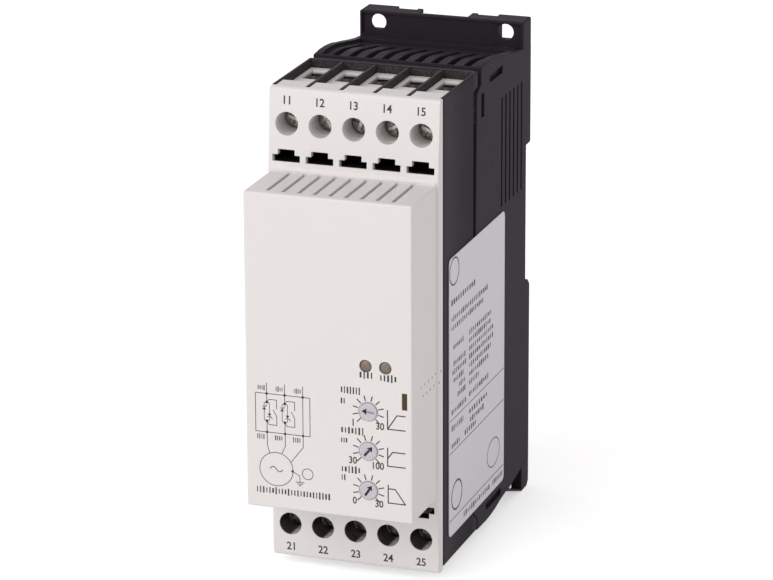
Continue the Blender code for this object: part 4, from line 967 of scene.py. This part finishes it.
class STARTER_OT_shells(bpy.types.Operator):
    """Round the edges of the moulded shells"""
    bl_idname = "starter.shells"
    bl_label = "Moulded shells"

    def execute(self, context):
        width = context.scene.starter_sizes.edge_round
        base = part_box("mounting_base")[0].y
        cuts = []
        for x in (step * GRILLE_PITCH for step in GRILLE_SLOTS):
            outline = rectangle(x - GRILLE_HALF, x + GRILLE_HALF, MIDDLE + GRILLE_LOW, MIDDLE + GRILLE_HIGH)
            cuts.append(prism(outline, base + GRILLE_START, base + GRILLE_END))
        for left, right in ((-PRY_OUTER, -PRY_INNER), (PRY_INNER, PRY_OUTER)):
            outline = rectangle(left, right, MIDDLE + PRY_TOP - PRY_LENGTH, MIDDLE + PRY_TOP)
            cuts.append(prism(outline, FRONT + PRY_START, FRONT + PRY_END))
        dressed("front_cover", "front_cover_shell", ROOT, "white_plastic", width, plain="signal_window")
        dressed("terminal_housing", "terminal_housing_shell", ROOT, "black_plastic", width)
        dressed("mounting_base", "mounting_base_shell", ROOT, "black_plastic", width, cuts=cuts)
        for row in ROWS:
            insert = row + "_terminal_insert"
            dressed(insert, insert + "_shell", ROOT, "white_plastic", width * 0.7, look="insert_plastic")
        dressed("rail_latch", "rail_latch_slide", "rail_latch", "latch_plastic", width)
        return {'FINISHED'}


class STARTER_OT_seam(bpy.types.Operator):
    """Short ribs that close the seam between the two black mouldings to light"""
    bl_idname = "starter.seam"
    bl_label = "Seam ribs"

    def execute(self, context):
        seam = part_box("terminal_housing")[1].y
        ribs = []
        for x in (-RIB_X, RIB_X):
            for y, heights in ((seam - SEAM_JOG, INNER_RIBS), (seam, OUTER_RIBS)):
                for low, high in heights:
                    outline = rectangle(x - RIB_HALF, x + RIB_HALF, MIDDLE + low, MIDDLE + high)
                    ribs.append(prism(outline, y - SEAM_GAP, y + 2 * SEAM_GAP))
        piece("seam_ribs", joined(*ribs), ROOT, "black_plastic")
        return {'FINISHED'}


def screw_mesh(head, reach, pitch):
    """One terminal screw, its head's face at y 0: slotted and crossed head, shank, and a thread round it."""
    profile = [(0.0, 0.0), (head - 0.00045, 0.0), (head - 0.00018, 0.00010), (head - 0.00004, 0.00028),
               (head, 0.00050), (head, HEAD_THICK - 0.00015), (head - 0.00015, HEAD_THICK),
               (SHANK + 0.0001, HEAD_THICK), (SHANK, HEAD_THICK + 0.0002), (SHANK, reach - 0.0004),
               (SHANK * 0.75, reach), (0.0, reach)]
    arm = head * 0.64
    long_cut = prism(rectangle(-head * 1.2, head * 1.2, -SLOT_HALF, SLOT_HALF), -0.001, 0.0010)
    cross_cut = prism(rectangle(-SLOT_HALF, SLOT_HALF, -arm, arm), -0.001, 0.0013)
    body = carved(turned(profile, 40), long_cut, cross_cut)
    shape = shape_of(body)
    bpy.data.meshes.remove(body)
    sides = 18
    start = HEAD_THICK + 0.0004
    threaded = reach - 0.0006 - start
    rows = int(threaded / pitch * 6)
    rings = []
    for row in range(rows + 1):
        y = start + threaded * row / rows
        ring = []
        for step in range(sides):
            share = (y / pitch - step / sides) % 1.0
            height = -0.2 if row in (0, rows) else 1.0 - abs(2.0 * share - 1.0)
            radius = SHANK + (THREAD - SHANK) * height
            angle = 2 * math.pi * step / sides
            ring.append(shape.verts.new((radius * math.cos(angle), y, radius * math.sin(angle))))
        rings.append(ring)
    skinned(shape, rings, caps=True)
    turning = shape.verts.layers.float.new("turning")
    for vertex in shape.verts:
        vertex[turning] = math.hypot(vertex.co.x, vertex.co.z)
    return smoothed(outward(shape), 30.0)


class STARTER_OT_terminals(bpy.types.Operator):
    """Terminal screws with slot, cross and thread, and rounded clamp cages"""
    bl_idname = "starter.terminals"
    bl_label = "Terminal screws and clamps"

    def execute(self, context):
        size = size_of("upper_screw_1")
        master = screw_mesh(size.x / 2 * HEAD_SHARE, size.y, context.scene.starter_sizes.thread_pitch)
        for start, row in zip((58, 18), ROWS):
            for number in range(1, CELLS + 1):
                screw = f"{row}_screw_{number}"
                mesh = moved(master.copy(), face_of(screw), turn=start + 47 * number)
                piece(screw + "_head", mesh, screw, "zinc_steel", screw, look="turned_zinc")
                clamp = f"{row}_clamp_{number}"
                dressed(clamp, clamp + "_cage", clamp, "zinc_steel", CAGE_ROUND)
        bpy.data.meshes.remove(master)
        return {'FINISHED'}


def dial_mesh(radius, reach, shaft_depth):
    """One dial: chamfered rim, slightly dished face, arrow slot, its face at y 0."""
    profile = [(0.0, 0.00010), (radius * 0.55, 0.00008), (radius - 0.00042, 0.0), (radius - 0.00022, 0.00001),
               (radius - 0.00007, 0.00008), (radius, 0.00022), (radius, reach - 0.0002), (radius - 0.0002, reach),
               (0.0, reach)]
    size = 2 * radius
    head = [(0.0, 0.38), (-0.20, 0.08), (0.0, 0.13), (0.20, 0.08)]
    shaft = [(-0.070, 0.16), (-0.070, -0.36), (0.070, -0.36), (0.070, 0.16)]
    cuts = [prism([(x * size, z * size) for x, z in outline], -0.001, depth)
            for outline, depth in ((head, 0.0009), (shaft, shaft_depth))]
    return smoothed(carved(turned(profile, 56), *cuts), 30.0)


def light_mesh(reach, collar):
    """One light guide: domed top, stem and collar, its top at y 0."""
    top = 0.0015
    rise = 0.00042
    turns = [step / 7 * math.pi / 2 for step in range(7)]
    dome = [(top * math.sin(turn), rise * (1.0 - math.cos(turn))) for turn in turns]
    stem = [(top, rise), (top, 0.0020), (collar, 0.00205), (collar, 0.0029), (collar - 0.0001, 0.0030),
            (top, 0.00305), (top, reach - 0.0002), (top - 0.0002, reach), (0.0, reach)]
    return smoothed(turned(dome + stem, 40), 40.0)


class STARTER_OT_controls(bpy.types.Operator):
    """Dials with an arrow slot, domed light guides"""
    bl_idname = "starter.controls"
    bl_label = "Dials and lights"

    def execute(self, context):
        well = size_of(DIALS[0] + "_dial").z / 2
        inner, outer = well + 0.00005, well + 0.00029
        ring = [(inner, 0.00030), (outer, 0.00030), (outer, 0.0009), (inner, 0.0009), (inner, 0.00030)]
        rims = []
        for name, turn, shaft in zip(DIALS, DIAL_TURNS, SHAFT_DEPTHS):
            node = name + "_dial"
            size = size_of(node)
            mesh = moved(dial_mesh(size.z / 2, size.y, shaft), face_of(node), turn)
            piece(node + "_knob", mesh, node, "dial_plastic", node)
            rims.append(moved(turned(ring, 56), (middle_of(node).x, FRONT, middle_of(node).z)))
        piece("dial_rims", joined(*rims), ROOT, "white_plastic")
        for name in LIGHTS:
            size = size_of(name)
            mesh = moved(light_mesh(size.y, size.x / 2), face_of(name))
            piece(name + "_guide", mesh, ROOT, "light_guide", name)
        dressed("signal_window", "signal_piece", ROOT, "signal_brown", SIGNAL_ROUND)
        return {'FINISHED'}


# Numbers of the dials' scales: words, x and height
SCALE_NUMBERS = (("1", 6.45, -16.8), ("30", 13.5, -17.05), ("30", 6.35, -26.7),
                 ("100", 13.0, -27.5), ("0", 6.75, -37.25), ("30", 13.2, -37.5))

# Lines of the ramp symbols: the axes and then the ramp of each dial
RAMPS = (
    [(15.45, -12.6), (15.45, -17.55), (20.15, -17.55)], [(15.5, -17.5), (17.9, -13.8), (20.2, -13.8)],
    [(15.45, -22.4), (15.45, -27.25), (20.15, -27.25)], [(15.5, -25.2), (16.75, -23.5), (20.1, -23.5)],
    [(15.55, -32.1), (15.55, -36.95), (20.15, -36.95)], [(15.6, -33.2), (17.4, -33.2), (20.0, -36.9)])

# Rows of bars at the dials and the lights: left x, right x, height, number of bars and their height
SCALE_WORDS = (
    (3.1, 8.5, -8.5, 7, 2.0), (3.1, 9.4, -19.0, 7, 2.0), (3.1, 8.4, -29.3, 6, 2.0),
    (3.1, 4.5, -11.4, 2, 1.8), (3.1, 5.0, -21.7, 3, 1.8), (3.1, 4.5, -31.5, 2, 1.8),
    (8.0, 11.8, -4.1, 4, 2.1), (13.3, 18.0, -4.4, 5, 2.1))


class STARTER_OT_scales(bpy.types.Operator):
    """Ticks, numbers and ramp symbols printed round the dials"""
    bl_idname = "starter.scales"
    bl_label = "Dial scales"

    def execute(self, context):
        sizes = context.scene.starter_sizes
        thick = sizes.ink_rise + INK_SINK
        centres = [middle_of(name + "_dial") for name in DIALS]
        for centre in centres:
            centre.y = FRONT - thick / 2 + INK_SINK
            centre.z += 0.0001
        ticks = tick_tree(sizes, thick).run(centres)
        marks = Print(spot(0.0, 0.0, 0.0), RIGHT, UP, sizes.ink_rise)
        for words, x, height in SCALE_NUMBERS:
            marks.number(words, (x, height), sizes.numeral / MM, 0.88)
        for points in RAMPS:
            marks.stroke(points, sizes.ink_line / MM * 1.2)
        printed("dial_scale_print", ticks, marks.mesh(), *word_bars("Scale word", SCALE_WORDS, thick, 3))
        return {'FINISHED'}


class STARTER_OT_diagram(bpy.types.Operator):
    """The circuit diagram printed on the hood, and dashes on its side"""
    bl_idname = "starter.diagram"
    bl_label = "Circuit diagram"

    def execute(self, context):
        sizes = context.scene.starter_sizes
        thick = sizes.ink_rise + INK_SINK
        line = sizes.ink_line / MM * 0.72
        pitch = 4.77
        marks = Print(spot(0.0, 0.0, 0.0), RIGHT, UP, sizes.ink_rise)
        self.phases(marks, pitch, line, sizes.ink_line / MM * 0.6)
        self.motor(marks, line)
        words = [(-19.5, 0.4, -37.3, 24, 1.9)]
        for shift in (step * pitch for step in range(3)):
            words += [(-18.8 + shift, -16.7 + shift, -10.3, 4, 1.45), (-19.1 + shift, -16.9 + shift, -23.2, 4, 1.45)]
        printed("diagram_print", marks.mesh(), *word_bars("Caption", words, thick, 40))
        printed("hood_side_print", *self.side_dashes(thick))
        return {'FINISHED'}

    def phases(self, marks, pitch, line, thin):
        """The box of the device with three lines through it, two of them switched."""
        top, upper, lower, foot = -11.75, -14.0, -18.95, -21.9
        marks.stroke([(-19.3, top), (-4.9, top), (-4.9, foot), (-19.3, foot)], line, closed=True)
        for x in (-16.3, -16.3 + pitch, -16.3 + 2 * pitch):
            marks.dot((x, top))
            marks.dot((x, foot))
            if x > -16.3 + pitch:
                marks.stroke([(x, -8.9), (x, foot)], line)
                continue
            marks.stroke([(x, -8.9), (x, upper)], line)
            marks.stroke([(x, lower), (x, foot)], line)
            marks.dot((x, upper), 0.36)
            marks.dot((x, lower), 0.36)
            for branch, height, way in ((x - 0.7, -15.6, 1), (x + 0.7, -17.4, -1)):
                marks.stroke([(x, upper), (branch, -14.25), (branch, -18.7), (x, lower)], thin)
                bar = height + 0.42 * way
                marks.stroke([(branch - 0.62, bar), (branch + 0.62, bar)], thin)
                back = height - 0.42 * way
                marks.patch([(branch - 0.5, back), (branch + 0.5, back), (branch, height + 0.36 * way)])
                marks.stroke([(branch + 0.2, height + 0.45 * way), (branch + 0.8, height + 0.95 * way)], thin)
            marks.stroke([(x, upper), (x + 0.6, -13.25), (x + 2.6, -13.25), (x + 2.6, -15.6)], line)
            marks.stroke([(x + 1.7, -15.9), (x + 2.6, -17.6), (x + 2.6, -19.9), (x + 0.6, -19.9), (x, lower)], line)

    def motor(self, marks, line):
        """The motor's circle with its three wires, and the earth symbol."""
        for wire in ([(-16.3, -21.9), (-16.3, -25.2), (-15.65, -27.45)],
                     [(-11.5, -21.9), (-11.5, -25.1), (-12.5, -27.35)],
                     [(-6.76, -21.9), (-6.76, -25.0), (-10.1, -29.3)],
                     [(-9.65, -31.6), (-7.75, -32.6), (-7.7, -34.2)]):
            marks.stroke(wire, line)
        marks.ring((-13.95, -31.5), 4.42, line)
        wave = [(-15.65 + 3.4 * step / 24, -31.5 + 0.62 * math.sin(2 * math.pi * step / 24)) for step in range(25)]
        marks.stroke(wave, line * 1.3)
        marks.dot((-9.65, -31.6))
        for half, height in ((1.15, -34.3), (0.72, -34.75), (0.32, -35.15)):
            marks.stroke([(-7.7 - half, height), (-7.7 + half, height)], line * 1.1)
        marks.ring((-5.65, -31.9), 1.42, line)

    def side_dashes(self, thick):
        """Two rows of dashes on the hood's right side, each with one more on the strip behind it."""
        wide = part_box("front_cover")[1].x
        dash = (thick, 0.00040, 0.00065)
        hood = row_tree("Hood side dashes", 5, (0.0, 0.00275, 0.0), dash, (1.0, 0.6, 0.7), (1.0, 1.0, 1.0), 2)
        strip = row_tree("Strip side dashes", 1, (0.0, 0.001, 0.0), dash, (1.0, 1.0, 1.0), (1.0, 1.0, 1.0), 1)
        return (hood.run([spot(wide - 0.0005, 0.0070, -0.0084), spot(wide - 0.0005, 0.0083, -0.0110)]),
                strip.run([spot(wide, 0.02075, -0.0084), spot(wide, 0.0193, -0.0110)]))


def strip_plane(height):
    """A point on a strip's front at x 0 and a height, and the way up along it."""
    shell = bpy.data.objects["front_cover_shell"].data
    tree = BVHTree.FromPolygons([vert.co for vert in shell.vertices], [face.vertices for face in shell.polygons])
    spots = [tree.ray_cast(spot(0.0, -0.01, height + reach), REAR)[0] for reach in (-0.0006, 0.0006)]
    if None in spots:
        raise RuntimeError("no strip behind a terminal number")
    return (spots[0] + spots[1]) / 2, (spots[1] - spots[0]).normalized()


class STARTER_OT_numbers(bpy.types.Operator):
    """Plain numbers at the ten terminals"""
    bl_idname = "starter.numbers"
    bl_label = "Terminal numbers"

    def execute(self, context):
        sizes = context.scene.starter_sizes
        parts = []
        for first, row in zip((11, 21), ROWS):
            origin, up = strip_plane(STRIP_PRINT[row])
            marks = Print(origin, RIGHT, up, sizes.ink_rise)
            for number in range(CELLS):
                hole = middle_of(f"{row}_screw_{number + 1}")
                marks.number(str(first + number), (hole.x / MM, 0.0), sizes.terminal_numeral / MM, 0.92)
            parts.append(marks.mesh())
        printed("terminal_number_print", *parts)
        return {'FINISHED'}


# Rows of bars on the side label: start and end behind the hood's front, height, number of bars
LABEL_ROWS = (
    (27.6, 47.4, 7.0, 11), (27.6, 57.8, 2.6, 20), (27.6, 54.2, 0.2, 18),
    (29.4, 38.0, -5.1, 6), (42.1, 61.0, -5.1, 12), (42.1, 60.2, -7.3, 12),
    (29.4, 39.5, -9.5, 7), (42.1, 62.5, -9.5, 13), (28.5, 40.0, -11.7, 8), (42.1, 62.5, -11.7, 13),
    (29.5, 38.0, -14.0, 6), (42.1, 60.7, -14.0, 12), (34.0, 39.0, -16.3, 4), (42.1, 58.5, -16.3, 10),
    (32.7, 39.5, -18.6, 5), (42.1, 50.7, -18.6, 6), (28.0, 40.0, -22.1, 9), (42.1, 58.7, -21.7, 10),
    (28.0, 38.0, -26.5, 7), (42.1, 57.7, -26.5, 8), (42.9, 54.7, -28.9, 7),
    (28.0, 35.0, -31.2, 5), (38.5, 48.3, -31.0, 6), (37.7, 60.0, -53.0, 14), (62.0, 71.0, -53.0, 7))

# Plain rings on the side label: depth, height, half width, half height, line
LABEL_RINGS = ((30.3, 14.9, 3.7, 3.5, 0.42), (62.9, -44.6, 5.2, 3.8, 0.30), (32.4, -45.4, 4.2, 3.8, 0.52))


class STARTER_OT_label(bpy.types.Operator):
    """Rules, rings and plain rows printed on the side label"""
    bl_idname = "starter.label"
    bl_label = "Side label print"

    def execute(self, context):
        sizes = context.scene.starter_sizes
        thick = sizes.ink_rise + INK_SINK
        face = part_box("side_label")[1].x
        marks = Print(spot(face, 0.0, 0.0), REAR, UP, sizes.ink_rise)
        for height in (-24.1, -32.8, -51.0):
            marks.stroke([(26.7, height), (71.6, height)], 0.22)
        for depth, height, across, tall, width in LABEL_RINGS:
            marks.stroke(circle(tall, 48, (depth, height), across / tall), width, closed=True)
        parts = [marks.mesh()]
        for number, (start, end, height, bars) in enumerate(LABEL_ROWS):
            pitch = (end - start) / bars * MM
            tree = row_tree(f"Label row {number}", bars, (0.0, pitch, 0.0), (thick, pitch * 0.56, 0.0016),
                            (1.0, 0.6, 0.6), (1.0, 1.2, 1.0), 20 + number, "label_ink")
            parts.append(tree.run([spot(face, start * MM + pitch / 2, height * MM)]))
        printed("side_label_print", *parts, look="label_ink")
        return {'FINISHED'}


class STARTER_OT_spring(bpy.types.Operator):
    """The coil that pushes the rail latch home"""
    bl_idname = "starter.spring"
    bl_label = "Latch spring"

    def execute(self, context):
        low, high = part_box("latch_spring")
        centre = middle_of("latch_spring")
        reach = high.z - low.z
        radius = (high.x - low.x) / 2 - SPRING_WIRE
        steps = 26
        total = context.scene.starter_sizes.spring_turns * steps
        shape = bmesh.new()
        rings = []
        for step in range(total + 1):
            share = step / total
            angle = 2 * math.pi * step / steps
            eased = share - math.sin(2 * math.pi * share) * SPRING_EASE
            rise = low.z + SPRING_WIRE + eased * (reach - 2 * SPRING_WIRE)
            rings.append([
                shape.verts.new((centre.x + (radius + out) * math.cos(angle),
                                 centre.y + (radius + out) * math.sin(angle), rise + up))
                for out, up in circle(SPRING_WIRE, 8)])
        skinned(shape, rings, caps=True)
        coil = piece("latch_spring_coil", smoothed(outward(shape), 60.0), ROOT, "spring_steel", "latch_spring")
        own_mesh(coil)
        return {'FINISHED'}


def lamp(name, place, size, power):
    """Square soft lamp aimed at the device."""
    light = bpy.data.lights.new(name, 'AREA')
    light.size = size
    light.energy = power
    holder = held(light, name)
    holder.location = place
    aim = Vector((0.0, 0.0, MIDDLE)) - Vector(place)
    holder.rotation_mode = 'QUATERNION'
    holder.rotation_quaternion = aim.to_track_quat('-Z', 'Y')


class STARTER_OT_stage(bpy.types.Operator):
    """Floor, soft lamps, white world and the camera"""
    bl_idname = "starter.stage"
    bl_label = "Stage"

    def execute(self, context):
        scene = context.scene
        half = 1.6
        mesh = bpy.data.meshes.new("floor")
        corners = [(x, y, CAD_BOX[0].z) for x, y in rectangle(-half, half, -half, half)]
        mesh.from_pydata(corners, [], [(0, 1, 2, 3)])
        mesh.materials.append(studio_floor("studio_floor", scene.starter_colours.floor))
        held(mesh, "floor")
        lamp("key_lamp", (-0.62, -1.20, 0.62), 1.3, 11.4)
        lamp("fill_lamp", (1.10, -0.45, 0.35), 0.8, 1.5)
        white_world(scene)
        camera = bpy.data.cameras.new("camera")
        camera.sensor_width = SENSOR
        camera.lens = LENS
        camera.clip_start = 0.05
        camera.clip_end = 20.0
        place = Matrix.Translation(EYE)
        for angle, axis in ((YAW, 'Z'), (90.0 - DOWN, 'X'), (ROLL, 'Z')):
            place = place @ Matrix.Rotation(math.radians(angle), 4, axis)
        scene.camera = held(camera, "camera")
        scene.camera.matrix_world = place
        scene.view_settings.view_transform = 'Standard'
        return {'FINISHED'}


OPERATORS = (
    STARTER_OT_finishes, STARTER_OT_shells, STARTER_OT_seam, STARTER_OT_terminals, STARTER_OT_controls,
    STARTER_OT_scales, STARTER_OT_diagram, STARTER_OT_numbers, STARTER_OT_label, STARTER_OT_spring,
    STARTER_OT_stage)


class STARTER_PT_sidebar(bpy.types.Panel):
    """Sizes, colours and steps of the soft starter"""
    bl_label = "Soft starter"
    bl_idname = "STARTER_PT_sidebar"
    bl_space_type = 'VIEW_3D'
    bl_region_type = 'UI'
    bl_category = "Soft starter"

    def draw(self, context):
        for group in (context.scene.starter_sizes, context.scene.starter_colours):
            column = self.layout.column()
            for name in group.__annotations__:
                column.prop(group, name)
        for step in OPERATORS:
            self.layout.operator(step.bl_idname)


CLASSES = (StarterSizes, StarterColours, *OPERATORS, STARTER_PT_sidebar)


def register():
    for item in CLASSES:
        bpy.utils.register_class(item)
    bpy.types.Scene.starter_sizes = bpy.props.PointerProperty(type=StarterSizes)
    bpy.types.Scene.starter_colours = bpy.props.PointerProperty(type=StarterColours)


def unregister():
    del bpy.types.Scene.starter_colours
    del bpy.types.Scene.starter_sizes
    for item in reversed(CLASSES):
        bpy.utils.unregister_class(item)


def main():
    """Run every step in order."""
    register()
    for step in OPERATORS:
        getattr(bpy.ops.starter, step.bl_idname.split(".")[1])()


if __name__ == "__main__":
    main()
